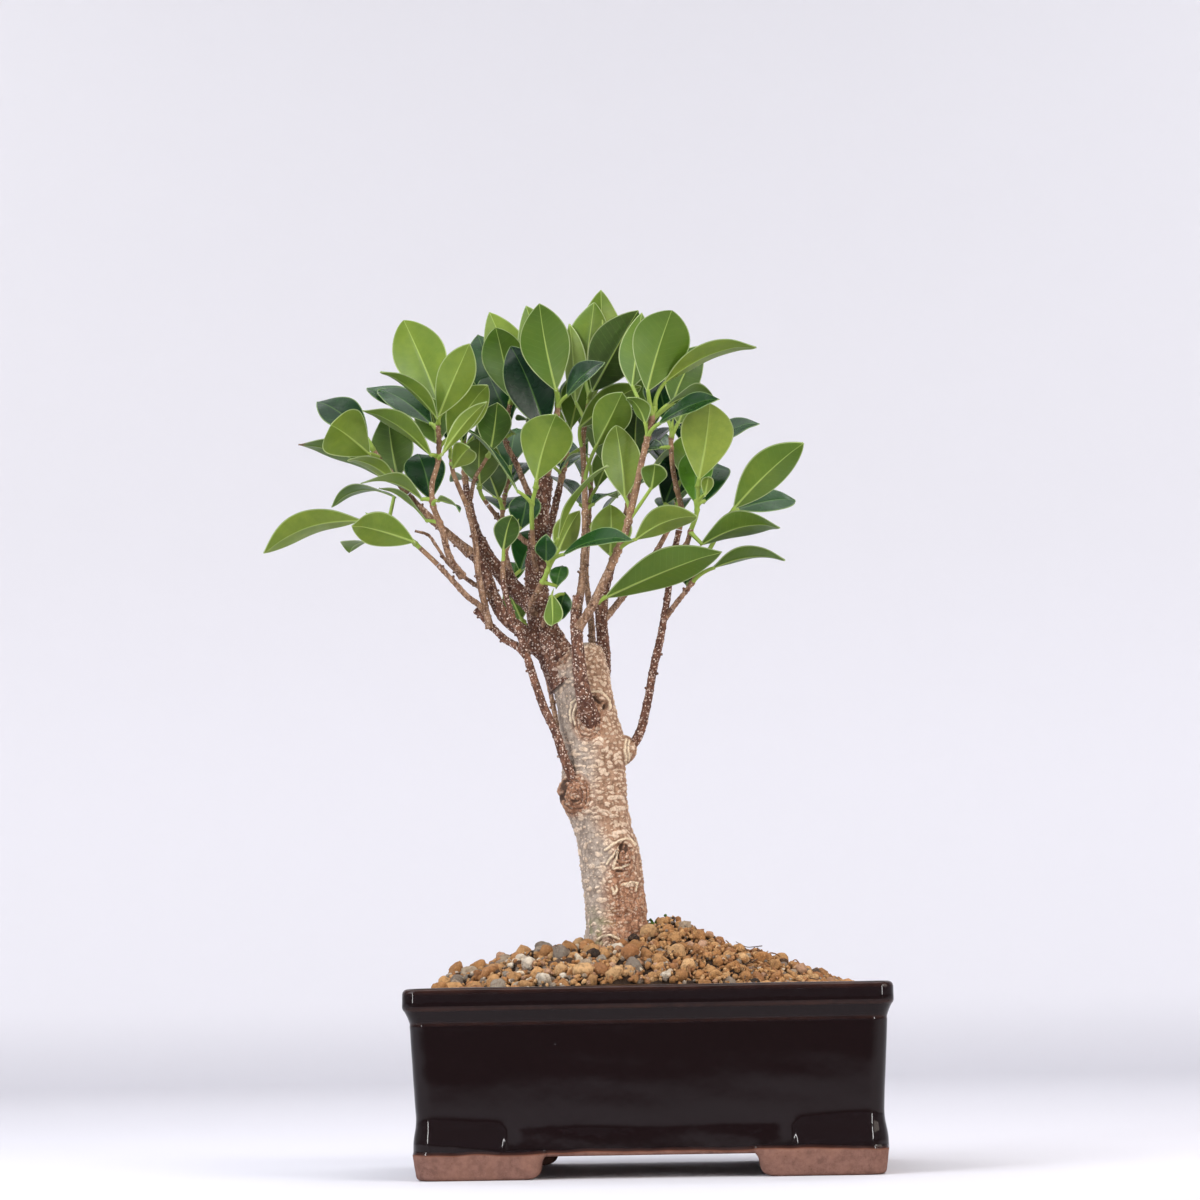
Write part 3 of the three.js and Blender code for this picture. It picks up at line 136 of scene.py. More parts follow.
TWIGS = {
    "left_tip": {
        "radius": [2.1, 1.1], "wood": 5,
        "points": [[470, 553, 0], [455, 540, -4], [440, 527, -8], [425, 513, -12], [408, 495, -15],
            [395, 478, -17], [382, 463, -19], [372, 448, -20]],
        "leaves": [
            [1, 368, 438, -20, 317, 400, -12, 18, 30, 2, -0.6, 0, 0],
            [0.8, 370, 455, -30, 330, 424, -50, 24, 180, 3, 0.6, 0.5, 1],
            [0.5, 384, 478, -19, 299, 443, -30, 18, 118, 3, 0, 0.2, 0],
            [0.3, 397, 484, -19, 348, 458, -38, 11, 128, 3, 0.6, 0.3, 0],
            [0.3, 398, 478, -10, 388, 413, -2, 20, 176, 2, -0.5, 0.4, 0],
        ],
    },
    "left_upright": {
        "radius": [1.6, 0.9], "wood": 4,
        "points": [[462, 576, -12], [456, 568, -16], [448, 553, -24], [442, 529, -27], [433, 505, -29],
            [432, 485, -30], [438, 462, -31], [439, 440, -32], [438, 425, -33], [440, 412, -34]],
        "leaves": [
            [0.05, 428, 522, -24, 381, 486, -20, 12, 100, 2, 0.4, 0.1, 0],
            [0.25, 423, 500, -30, 361, 482, -44, 16, 108, 4, 0.4, 0.1, 0],
            [0.2, 437, 500, -36, 461, 509, -42, 12, 100, 1, 0.2, 0.1, 0],
            [0.25, 431, 500, -24, 418, 453, -14, 19, 10, 1, -0.6, 0, 1],
            [0.62, 432, 456, -34, 364, 408, -48, 17, 120, 3, 0.5, 0.1, 0],
            [0.8, 425, 420, -22, 367, 387, -6, 17, 50, 2, -0.2, 0, 0],
            [0.85, 432, 425, -28, 378, 388, -14, 18, 45, 2, -0.4, 0, 0],
            [0.9, 438, 418, -38, 382, 369, -58, 15, 115, 2, 0.5, 0.1, 0],
            [1, 438, 401, -33, 404, 321, -30, 24, 180, 2, 0.6, 0.1, 1],
            [0.98, 438, 417, -38, 470, 343, -54, 17, 186, 2, 0.6, 0.25, 0],
            [0.75, 437, 444, -26, 424, 390, -16, 18, 170, 2, -0.2, 0.2, 0],
            [0.6, 441, 456, -36, 487, 400, -54, 8, 165, 3, 0.65, 0.2, 0],
            [0.7, 448, 440, -26, 487, 384, -34, 18, 165, 2, 0.6, 0.2, 0],
        ],
    },
    "left_low": {
        "radius": [1.4, 0.9], "wood": 5,
        "points": [[488, 618, -7], [480, 606, -11], [468, 597, -16], [452, 580, -19], [438, 565, -20],
            [420, 548, -21], [400, 530, -18], [386, 520, -15], [373, 516, -14]],
        "leaves": [
            [0.35, 415, 542, -27, 351, 524, -40, 17, 160, 3, 0.5, 0.3, 0],
            [1, 362, 520, -16, 263, 552, -22, 20, 128, 6, 0.7, 0.4, 0],
            [0.7, 372, 543, 4, 349, 550, 26, 16, 100, 2, 0.3, 0, 0],
            [0.8, 396, 497, -4, 332, 503, 14, 14, 105, 5, 0.2, 0, 0],
        ],
    },
    "dry_twig": {
        "radius": [1.1, 0.6], "wood": 7,
        "points": [[494, 601, -4], [480, 588, -9], [464, 577, -12], [448, 563, -13], [437, 547, -15],
            [428, 535, -16], [415, 531, -18]],
        "leaves": [],
    },
    "left_middle": {
        "radius": [1.6, 1], "wood": 5,
        "points": [[490, 628, -7], [485, 606, -10], [478, 572, -14], [475, 540, -16], [467, 507, -18],
            [460, 490, -19], [453, 472, -20], [451, 456, -20]],
        "leaves": [
            [0.85, 453, 468, -25, 471, 446, -40, 12, 180, 1, 0.6, 0.4, 0],
            [1, 450, 446, -18, 462, 396, -2, 17, 10, 2, -0.3, 0.2, 0],
        ],
    },
    "left_inner": {
        "radius": [1, 0.8], "wood": 3,
        "points": [[469, 512, -17], [471, 497, -12], [475, 478, -9], [482, 466, -8], [488, 456, -8]],
        "leaves": [
            [1, 490, 452, -14, 497, 402, -24, 16, 172, 2, -0.5, 0, 0],
        ],
    },
    "behind_leader": {
        "radius": [1.3, 0.9], "wood": 4,
        "points": [[536, 550, 5], [520, 537, 7], [503, 523, 6], [488, 505, 4], [481, 494, 3],
            [479, 486, 2]],
        "leaves": [
            [0.9, 480, 486, 0, 480, 438, -2, 20, 184, 2, -0.4, 0.6, 1],
        ],
    },
    "crown_left": {
        "radius": [1.5, 1], "wood": 4,
        "points": [[541, 515, 3], [528, 492, 5], [516, 463, 3], [505, 440, 0], [506, 420, -3],
            [511, 402, -5]],
        "leaves": [
            [1, 511, 398, -8, 496, 328, -14, 20, 176, 2, -0.2, 0.1, 1],
            [1, 518, 388, 0, 490, 313, 10, 20, 172, 2, 0.7, 0.1, 0],
            [0.5, 510, 424, -1, 487, 372, 10, 19, 10, 2, -0.6, 0, 0],
            [0.05, 516, 434, -4, 489, 425, -7, 7, 75, 1, -0.7, 0, 0],
            [0.7, 500, 412, 6, 478, 333, 18, 20, 10, 2, -0.3, 0, 0],
        ],
    },
    "crown_centre": {
        "radius": [1.9, 1.1], "wood": 2,
        "points": [[544, 495, 2], [547, 476, 0], [551, 458, -5], [555, 434, -10], [557, 414, -14],
            [558, 402, -16]],
        "leaves": [
            [0.85, 546, 432, -15, 511, 345, -17, 23, 8, 2, -1, 0, 0],
            [1, 556, 391, -22, 539, 303, -37, 23, 182, 2, 0.1, 0.1, 0],
            [0.95, 566, 397, -19, 604, 361, -20, 15, 52, 2, -0.6, 0, 0],
            [1, 549, 384, -10, 527, 307, 0, 19, 170, 2, 0.3, 0.1, 0],
            [0.2, 558, 474, 2, 591, 452, 4, 9, 88, 3, -0.5, 0, 0],
        ],
    },
    "front_fan": {
        "radius": [1.3, 0.9], "wood": 3,
        "points": [[536, 572, 1], [534, 560, -5], [533, 545, -10], [532, 525, -15], [532, 505, -20],
            [536, 487, -24]],
        "leaves": [
            [1, 536, 481, -27, 556, 414, -40, 24, 180, 2, 0.5, 0.2, 1],
            [0.7, 519, 493, -25, 463, 424, -33, 9, 82, 2, -0.3, 0, 0],
        ],
    },
    "crown_right": {
        "radius": [1.8, 1], "wood": 4,
        "points": [[577, 610, -19], [581, 590, -17], [584, 560, -15], [585, 530, -12], [585, 500, -10],
            [584, 470, -8], [583, 440, -6], [587, 412, -5], [590, 396, -4]],
        "leaves": [
            [1, 592, 392, -10, 637, 311, -9, 24, 172, 2, -0.95, 0.6, 0],
            [1, 584, 380, 5, 594, 303, 8, 20, 178, 2, 0.4, 0, 0],
            [0.95, 604, 376, 4, 600, 292, 10, 21, 190, 2, 0.5, 0.1, 0],
            [0.8, 576, 405, -1, 571, 325, 9, 12, 150, 1, 0.7, 0.2, 0],
            [0.35, 596, 447, -17, 623, 391, -33, 18, 180, 2, 0.5, 0.2, 0],
            [0.6, 578, 428, -9, 640, 384, -14, 15, 150, 2, -0.2, 0.7, 0],
            [0.12, 592, 505, -6, 617, 494, 6, 12, 80, 2, 0.1, 0.2, 0],
        ],
    },
    "front_right": {
        "radius": [2, 1.2], "wood": 4,
        "points": [[578, 628, -20], [590, 610, -23], [600, 590, -26], [609, 570, -28], [618, 550, -30],
            [626, 530, -31], [631, 510, -32], [636, 490, -33], [641, 465, -34], [647, 440, -35],
            [652, 420, -36], [655, 404, -36]],
        "leaves": [
            [0.06, 610, 556, -24, 611, 507, -18, 19, 182, 2, 0.3, 0.7, 1],
            [0.12, 634, 540, -35, 697, 515, -44, 17, 138, 4, 0.4, 0.6, 0],
            [0.36, 625, 499, -29, 616, 427, -25, 18, 180, 2, 0.2, 0.9, 1],
            [0.92, 647, 392, -40, 672, 310, -54, 26, 182, 2, 0.15, 0.3, 1],
            [0.85, 632, 388, -28, 641, 315, -14, 16, 176, 2, 0.2, 0.1, 0],
            [0.97, 663, 383, -38, 755, 343, -50, 18, 118, 4, 0.7, 0.5, 0],
            [0.9, 672, 405, -28, 700, 347, -12, 19, 160, 2, -0.5, 0, 0],
            [0.85, 666, 405, -36, 712, 394, -26, 16, 112, 2, 0, 0.2, 0],
            [0.8, 658, 424, -42, 718, 397, -52, 16, 62, 2, -0.6, 0, 0],
            [0.75, 646, 424, -38, 629, 396, -44, 12, 130, 2, 0.2, 0.3, 0],
            [0.3, 651, 490, -37, 655, 463, -48, 12, 180, 1, 0, 0.2, 0],
        ],
    },
    "front_low": {
        "radius": [1.1, 0.8], "wood": 2,
        "points": [[577, 632, -19], [586, 618, -15], [592, 608, -13], [598, 602, -13]],
        "leaves": [
            [1, 604, 598, -14, 722, 550, -34, 20, 150, 3, 0, 0.2, 0],
        ],
    },
    "tan_centre": {
        "radius": [1.5, 0.9], "wood": 3,
        "points": [[539, 622, 0], [531, 606, -7], [537, 592, -14], [545, 577, -20], [549, 566, -23],
            [552, 554, -25]],
        "leaves": [
            [0.75, 546, 562, -27, 546, 535, -34, 10, 10, 1, -0.6, 0, 0],
            [0.8, 562, 555, -30, 631, 537, -46, 14, 60, 3, -0.3, 0, 0],
            [1, 557, 540, -28, 606, 464, -40, 12, 100, 3, 0.4, 0.2, 0],
            [0.6, 558, 552, -18, 578, 512, -2, 13, 165, 2, 0.2, 0.8, 0],
            [0.3, 556, 588, -15, 562, 564, -8, 9, 20, 1, 0.3, 0.2, 0],
        ],
    },
    "left_spire": {
        "radius": [1.6, 0.9], "wood": 4,
        "points": [[527, 656, -12], [521, 638, -14], [511, 612, -15], [503, 580, -15], [505, 555, -14],
            [510, 541, -13], [515, 528, -12]],
        "leaves": [
            [0.3, 503, 551, -16, 512, 514, -24, 12, 172, 1, -0.6, 0, 0],
            [0.9, 520, 530, -10, 528, 492, -2, 15, 12, 1, -0.5, 0, 0],
        ],
    },
    "low_hanging": {
        "radius": [1, 0.7], "wood": 2,
        "points": [[541, 632, -3], [545, 618, -9], [549, 606, -11], [551, 598, -12]],
        "leaves": [
            [1, 552, 594, -14, 553, 628, -22, 9, 165, 1, 0.3, 0.1, 0],
            [0.8, 565, 592, -9, 561, 618, -10, 11, 20, 1, 0.1, 0.1, 0],
        ],
    },
    "low_left_leaf": {
        "radius": [1, 0.7], "wood": 2,
        "points": [[541, 640, 3], [532, 632, 11], [527, 626, 14], [524, 622, 15]],
        "leaves": [
            [1, 522, 620, 16, 507, 588, 22, 14, 165, 1, -0.3, 0.1, 0],
        ],
    },
    "right_upright": {
        "radius": [2.1, 1], "wood": 9,
        "points": [[620, 756, -1], [630, 748, -1], [640, 732, -2], [648, 700, -3], [653, 670, -4],
            [660, 640, -5], [667, 600, -6], [672, 562, -8], [679, 530, -10], [682, 512, -12],
            [677, 490, -14], [673, 470, -15], [671, 445, -16], [672, 428, -16]],
        "leaves": [
            [0.15, 664, 506, -8, 688, 453, 4, 18, 8, 2, -0.9, 0.2, 1],
            [0.4, 684, 478, -10, 700, 430, 2, 18, 170, 2, 0, 0.2, 0],
            [0.8, 662, 448, -17, 640, 452, -8, 12, 70, 1, -0.6, 0, 0],
            [0.9, 678, 424, -16, 694, 372, -4, 18, 172, 2, 0, 0.2, 0],
            [1, 668, 422, -14, 656, 372, -8, 17, 14, 2, -0.5, 0, 0],
        ],
    },
    "right_fan": {
        "radius": [1.3, 0.9], "wood": 3,
        "points": [[674, 556, -9], [682, 549, -14], [687, 543, -18], [691, 530, -22], [696, 516, -26],
            [698, 500, -29], [698, 486, -32]],
        "leaves": [
            [1, 699, 480, -34, 710, 403, -48, 24, 180, 2, 1, 0.6, 1],
            [0.6, 695, 503, -23, 700, 445, -16, 16, 6, 2, 0.8, 0.1, 0],
            [0.7, 704, 503, -23, 718, 462, -8, 18, 14, 1, -0.3, 0, 1],
            [0.2, 700, 545, -24, 780, 525, -38, 19, 128, 5, 0.2, 0.1, 0],
            [0.75, 705, 496, -33, 709, 475, -40, 6, 180, 1, 0.5, 0.5, 0],
        ],
    },
    "right_low": {
        "radius": [1.2, 0.9], "wood": 3,
        "points": [[665, 618, -5], [678, 601, -8], [689, 587, -10], [698, 573, -12], [706, 556, -14],
            [716, 538, -16], [727, 521, -18], [732, 513, -19]],
        "leaves": [
            [1, 733, 509, -20, 803, 442, -30, 19, 158, 3, 0.3, 0.2, 0],
            [0.8, 736, 510, -10, 796, 499, 6, 16, 45, 2, -0.1, 0, 0],
            [0.05, 712, 568, -17, 785, 558, -26, 17, 112, 3, -0.2, 0.1, 0],
            [0.05, 687, 586, -4, 690, 566, 4, 10, 10, 1, -0.4, 0, 0],
        ],
    },
    "back_low": {
        "radius": [1.3, 0.8], "wood": 7,
        "points": [[572, 775, 6], [561, 745, 14], [556, 720, 19], [550, 690, 23], [545, 668, 27],
            [536, 630, 36], [524, 600, 46], [514, 584, 54], [510, 572, 58]],
        "leaves": [
            [1, 511, 584, 55, 516, 560, 74, 11, 10, 1, 0.4, 0.1, 0],
            [0.8, 520, 572, 58, 540, 528, 68, 17, 20, 2, -0.3, 0.1, 0],
        ],
    },
    "back_left": {
        "radius": [2.2, 1], "wood": 4,
        "points": [[484, 549, 12], [476, 530, 20], [470, 508, 26], [466, 486, 30], [464, 462, 34],
            [464, 438, 36]],
        "whorl": {"leaves": 7, "length": 34, "width": 18, "from": 0.15, "lean": 50, "seed": 5},
    },
    "back_middle": {
        "radius": [2.2, 1], "wood": 4,
        "points": [[540, 560, 6], [546, 540, 14], [553, 515, 21], [560, 485, 27], [566, 455, 31],
            [566, 430, 33]],
        "whorl": {"leaves": 7, "length": 36, "width": 19, "from": 0.15, "lean": 50, "seed": 23},
    },
    "back_right": {
        "radius": [2.3, 1], "wood": 4,
        "points": [[601, 612, 15], [606, 585, 18], [616, 550, 22], [626, 515, 26], [634, 480, 29],
            [639, 448, 31]],
        "whorl": {"leaves": 7, "length": 36, "width": 19, "from": 0.15, "lean": 50, "seed": 31},
    },
    "back_far_right": {
        "radius": [1.6, 0.9], "wood": 4,
        "points": [[602, 622, 14], [618, 603, 22], [640, 575, 33], [660, 545, 42], [674, 515, 49],
            [680, 485, 54], [682, 460, 57]],
        "leaves": [
            [0.7, 706, 448, 50, 758, 421, 44, 17, 62, 2, -0.4, 0, 0],
        ],
        "whorl": {"leaves": 6, "length": 34, "width": 18, "from": 0.2, "lean": 52, "seed": 47},
    },
    "back_far_middle": {
        "radius": [1.8, 0.9], "wood": 4,
        "points": [[588, 668, 2], [592, 642, 20], [590, 610, 38], [586, 575, 52], [588, 540, 61],
            [590, 500, 68], [592, 475, 71]],
        "whorl": {"leaves": 7, "length": 34, "width": 18, "from": 0.2, "lean": 52, "seed": 59},
    },
    "back_far_left": {
        "radius": [1.6, 0.9], "wood": 4,
        "points": [[534, 606, 5], [516, 584, 20], [506, 556, 36], [502, 528, 48], [504, 500, 58],
            [510, 472, 64]],
        "whorl": {"leaves": 7, "length": 34, "width": 18, "from": 0.2, "lean": 52, "seed": 71},
    },
}


# ---------------------------------------------------------------- the front view

EYE = np.array([31.6, -1300.0, 65.0])
YAW, PITCH, ROLL = (math.radians(a) for a in (2.25, 8.26, 1.01))
FOCAL = 2903
CENTRE = 600
CROWN = {"left": 443, "right": 716, "top": 338, "bottom": 522}


def view_basis():
    forward = np.array([-math.sin(YAW) * math.cos(PITCH), math.cos(YAW) * math.cos(PITCH), math.sin(PITCH)])
    level = np.array([math.cos(YAW), math.sin(YAW), 0])
    upright = np.cross(level, forward)
    right = level * math.cos(ROLL) - upright * math.sin(ROLL)
    up = level * math.sin(ROLL) + upright * math.cos(ROLL)
    return forward, right, up


FORWARD, RIGHT, UP = view_basis()


def seen(x, y, depth):
    ray = FORWARD + RIGHT * ((x - CENTRE) / FOCAL) + UP * ((CENTRE - y) / FOCAL)
    return EYE + ray * ((depth - EYE[1]) / ray[1])


def view_of(points):
    offset = np.asarray(points, float) - EYE
    distance = offset @ FORWARD
    return CENTRE + FOCAL * (offset @ RIGHT) / distance, CENTRE - FOCAL * (offset @ UP) / distance


TRUNK_FOOT = seen(615, 926, 0)


# ---------------------------------------------------------------- shared geometry


def unit(v):
    v = np.asarray(v, float)
    return v / np.maximum(np.linalg.norm(v, axis=-1, keepdims=True), 1e-12)


def lerp(a, b, t):
    return a + (b - a) * t


def smoothstep(low, high, x):
    t = np.clip((np.asarray(x, float) - low) / (high - low), 0, 1)
    return t * t * (3 - 2 * t)


def waves(points, wavelength, seed, count=9):
    """A smooth random field from -1 to 1, the sum of waves in seeded directions."""
    rng = np.random.RandomState(seed)
    total = np.zeros(len(points))
    for _ in range(count):
        k = unit(rng.normal(size=3)) * (2 * math.pi / wavelength) * rng.uniform(0.6, 1.6)
        total += np.sin(points @ k + rng.uniform(0, 2 * math.pi))
    return total / math.sqrt(count * 2)


class Curve:
    """A centripetal Catmull-Rom curve, read by its share of length."""

    def __init__(self, points):
        self.points = np.array(points, float)
        self.parameters = np.linspace(0, 1, 201)
        self.lengths = self.arc_lengths(200)
        self.length = self.lengths[-1]

    def at(self, t):
        t = np.atleast_1d(np.asarray(t, float))
        p = self.points
        count = len(p)
        ends = np.vstack([2 * p[0] - p[1], p, 2 * p[-1] - p[-2]])
        place = np.clip(t, 0, 1) * (count - 1)
        cell = np.minimum(place.astype(int), count - 2)
        w = (place - cell)[:, None]
        a, b, c, d = (ends[cell + k] for k in range(4))
        step = [np.linalg.norm(q - r, axis=1)[:, None] ** 0.5 for q, r in ((b, a), (c, b), (d, c))]
        out = ((b - a) / step[0] - (c - a) / (step[0] + step[1]) + (c - b) / step[1]) * step[1]
        back = ((c - b) / step[1] - (d - b) / (step[1] + step[2]) + (d - c) / step[2]) * step[1]
        return b + out * w + (3 * (c - b) - 2 * out - back) * w**2 + (2 * (b - c) + out + back) * w**3

    def arc_lengths(self, divisions):
        line = self.at(np.linspace(0, 1, divisions + 1))
        return np.concatenate([[0], np.cumsum(np.linalg.norm(np.diff(line, axis=0), axis=1))])

    def parameter(self, share):
        return np.interp(np.atleast_1d(share) * self.length, self.lengths, self.parameters)

    def point(self, share):
        found = self.at(self.parameter(share))
        return found if np.ndim(share) else found[0]

    def tangent(self, share):
        t = self.parameter(share)
        found = unit(self.at(np.minimum(t + 1e-4, 1)) - self.at(np.maximum(t - 1e-4, 0)))
        return found if np.ndim(share) else found[0]


def grid_faces(rows, columns, wraps=False):
    """Quads of a grid of points, row after row."""
    last = columns if wraps else columns - 1
    r, c = np.meshgrid(np.arange(rows - 1), np.arange(last), indexing="ij")
    a = (r * columns + c).ravel()
    b = (r * columns + (c + 1) % columns).ravel()
    return np.stack([a, b, b + columns, a + columns], axis=1)


def read_and_free(mesh):
    """The points and the faces of a working mesh, which is then let go."""
    mesh.verts.index_update()
    points = np.array([v.co[:] for v in mesh.verts])
    faces = np.array([[v.index for v in f.verts] for f in mesh.faces])
    mesh.free()
    return points, faces


class Piece:
    """Gathers points, faces and values per point, and makes one mesh object of them."""

    def __init__(self, *names):
        self.names = names
        self.points, self.faces, self.count = [], [], 0
        self.values = {n: [] for n in names}

    def add(self, points, faces, **values):
        points = np.asarray(points, float).reshape(-1, 3)
        for quads in faces if isinstance(faces, list) else [faces]:
            self.faces.append(np.asarray(quads) + self.count)
        for name in self.names:
            self.values[name].append(np.broadcast_to(np.asarray(values.get(name, 0), float), len(points)))
        self.points.append(points)
        self.count += len(points)

    def make(self, name, material, slot, *nodes):
        mesh = bpy.data.meshes.new(name)
        points = np.vstack(self.points) / 1000 + ORIGIN
        mesh.vertices.add(len(points))
        mesh.vertices.foreach_set("co", points.astype(np.float32).ravel())
        sizes = np.concatenate([np.full(len(f), f.shape[1]) for f in self.faces])
        loops = np.concatenate([f.ravel() for f in self.faces])
        mesh.loops.add(len(loops))
        mesh.loops.foreach_set("vertex_index", loops.astype(np.int32))
        mesh.polygons.add(len(sizes))
        starts = np.concatenate([[0], np.cumsum(sizes)[:-1]])
        mesh.polygons.foreach_set("loop_start", starts.astype(np.int32))
        mesh.polygons.foreach_set("use_smooth", np.full(len(sizes), True))
        mesh.update(calc_edges=True)
        for value in self.names:
            layer = mesh.attributes.new(value, "FLOAT", "POINT")
            layer.data.foreach_set("value", np.concatenate(self.values[value]).astype(np.float32))
        mesh.materials.append(material)
        made = bpy.data.objects.new(name, mesh)
        bpy.context.scene.collection.objects.link(made)
        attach(made, "root")
        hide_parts(*nodes)
        return made


def tube(curve, radius, steps, sides, start=0.0, end=1.0, relief=None):
    """Rings of points along a curve. relief(share, angle, points, reach) is added to the radius."""
    shares = np.linspace(start, end, steps + 1)
    middles, along = curve.point(shares), curve.tangent(shares)
    side = np.array([0.0, 0, 1]) if abs(along[0][2]) < 0.9 else np.array([0.0, 1, 0])
    sides_of = []
    for direction in along:
        side = unit(side - direction * (side @ direction))
        sides_of.append(side)
    sides_of = np.array(sides_of)
    other = np.cross(along, sides_of)
    angle = np.arange(sides) / sides * 2 * math.pi
    out = sides_of[:, None] * np.cos(angle)[None, :, None] + other[:, None] * np.sin(angle)[None, :, None]
    reach = np.repeat(np.array([radius(s) for s in shares])[:, None], sides, axis=1)
    points = middles[:, None] + out * reach[..., None]
    if relief is not None:
        share_grid = np.repeat(shares[:, None], sides, axis=1)
        angle_grid = np.repeat(angle[None], steps + 1, axis=0)
        extra = relief(share_grid.ravel(), angle_grid.ravel(), points.reshape(-1, 3), reach.ravel())
        points = points + out * extra.reshape(steps + 1, sides)[..., None]
    return points.reshape(-1, 3)


def tube_faces(steps, sides):
    """Side quads and end fans, with a point at the middle of each end appended after the rings."""
    quads = grid_faces(steps + 1, sides, wraps=True)
    ring = np.arange(sides)
    first, last = (steps + 1) * sides, (steps + 1) * sides + 1
    low = np.stack([np.full(sides, first), (ring + 1) % sides, ring], axis=1)
    top = ring + steps * sides
    high = np.stack([np.full(sides, last), top, steps * sides + (ring + 1) % sides], axis=1)
    return [quads, low, high]


def with_ends(points, sides):
    """The rings, with a point at the middle of the first and of the last."""
    return np.vstack([points, points[:sides].mean(0), points[-sides:].mean(0)])


def spots(u, v, around, cell_u, cell_v, size_u, size_v, density, seed):
    """How far each point is inside an oval spot, 0 to 1. No cell of the unrolled surface has two."""
    columns = max(3, int(round(around / cell_u)))
    width = around / columns
    rng = np.random.RandomState(seed)
    rows = int(np.max(v) / cell_v) + 4
    jitter = rng.uniform(0.15, 0.85, (rows, columns, 2))
    scale = rng.uniform(0.55, 1.25, (rows, columns))
    kept = rng.uniform(size=(rows, columns)) < density
    row, column = (v / cell_v).astype(int) + 1, (u / width).astype(int)
    best = np.zeros(len(u))
    for dr in (-1, 0, 1):
        for dc in (-1, 0, 1):
            r, c = np.clip(row + dr, 0, rows - 1), column + dc
            wrapped = c % columns
            du = u - (c + jitter[r, wrapped, 0]) * width
            dv = v - (r - 1 + jitter[r, wrapped, 1]) * cell_v
            near = np.hypot(du / size_u, dv / size_v) / scale[r, wrapped]
            best = np.maximum(best, np.where(kept[r, wrapped], 1 - smoothstep(0.55, 1.0, near), 0))
    return best


# ---------------------------------------------------------------- laying the plant out


def lay_out(twig):
    """The curve of a twig, and the share of its length where its wood ends."""
    curve = Curve([seen(*p) for p in twig["points"]])
    lengths = curve.arc_lengths(400)
    ends = int(400 * (twig["wood"] - 1) / (len(twig["points"]) - 1) + 0.5)
    return curve, lengths[ends] / lengths[-1]


def half_width(place, width, blunt=False):
    power = math.log(0.5) / math.log(0.6 if blunt else 0.54)
    return (width / 2) * np.sin(math.pi * np.clip(place, 0, 1) ** power) ** (0.66 if blunt else 0.8)


# Where, in the front view, the one leaf with a dead brown tip ends.
DRY_TIP = (299, 443)


def view_leaf(row):
    place, bx, by, bd, tx, ty, td, width, turn, arch, shade, olive, blunt = row
    base, tip = seen(bx, by, bd), seen(tx, ty, td)
    axis = unit(tip - base)
    to_viewer = EYE - base
    to_viewer = unit(to_viewer - axis * (to_viewer @ axis))
    upward = np.cross(axis, to_viewer)
    if upward[2] < 0:
        upward = -upward
    angle = math.radians(turn)
    face = to_viewer * math.cos(angle) + upward * math.sin(angle)
    return {
        "place": place, "base": base, "tip": tip, "face": face, "width": width, "arch": arch,
        "shade": shade, "olive": olive, "blunt": bool(blunt), "dry": 1.0 if (tx, ty) == DRY_TIP else 0.0,
    }


def blade_axes(leaf):
    along = leaf["tip"] - leaf["base"]
    axis = unit(along)
    out = unit(leaf["face"] - axis * (leaf["face"] @ axis))
    return along, out, np.cross(out, axis)


def blade_points(leaf):
    along, out, side = blade_axes(leaf)
    points = []
    for place in (0.05, 0.2, 0.35, 0.5, 0.65, 0.8, 0.95):
        middle = leaf["base"] + along * place + out * (leaf["arch"] * math.sin(math.pi * place))
        for across in (-0.8, 0, 0.8):
            points.append(middle + side * (across * half_width(place, leaf["width"])))
    return np.array(points)


def seeded_random(seed):
    state = seed
    while True:
        state = (state * 1664525 + 1013904223) % 4294967296
        yield state / 4294967296


def is_free(points, taken):
    apart = np.linalg.norm(points[:, None] - np.vstack(taken)[None], axis=2)
    x, y = view_of(points)
    inside = (x > CROWN["left"]) & (x < CROWN["right"]) & (y > CROWN["top"]) & (y < CROWN["bottom"])
    return bool((apart > LEAF_CLEARANCE).all() and inside.all())


def whorl_leaves(curve, shoot_start, rule, taken):
    """Leaves set round a shoot by the same rule as the solids, each clear of those already there."""
    random = seeded_random(rule["seed"])
    start_angle = next(random) * 2 * math.pi
    up = np.array([0.0, 0, 1])
    made = []
    for i in range(rule["leaves"]):
        share = i / (rule["leaves"] - 1)
        place = lerp(rule["from"], 1, share)
        stem, along = curve.point(lerp(shoot_start, 1, place)), curve.tangent(lerp(shoot_start, 1, place))
        size = 0.88 + next(random) * 0.24
        for attempt in range(WHORL["attempts"]):
            angle = start_angle + i * GOLDEN_ANGLE + attempt * WHORL["turn"]
            sideways = np.array([math.cos(angle), math.sin(angle), 0])
            scatter = (next(random) - 0.5) * WHORL["scatter"]
            tilt = math.radians(rule["lean"] + WHORL["openness"] - WHORL["closing"] * share + scatter)
            leaning = unit(lerp(along, up, WHORL["upright"]))
            heading = unit(leaning * math.cos(tilt) + sideways * math.sin(tilt))
            base = stem + heading * WHORL["stalk"] + up
            tip = base + heading * rule["length"] * size
            tip[2] -= WHORL["droop"] * math.sin(tilt)
            leaf = {
                "place": place, "base": base, "tip": tip, "face": up - sideways * 0.25,
                "width": rule["width"] * size, "arch": WHORL["arch"],
                "shade": -0.5 + 0.5 * math.sin(angle * 5), "olive": 0.15, "blunt": i % 3 == 0,
            }
            points = blade_points(leaf)
            if is_free(points, taken):
                taken.append(points)
                made.append(leaf)
                break
    return made


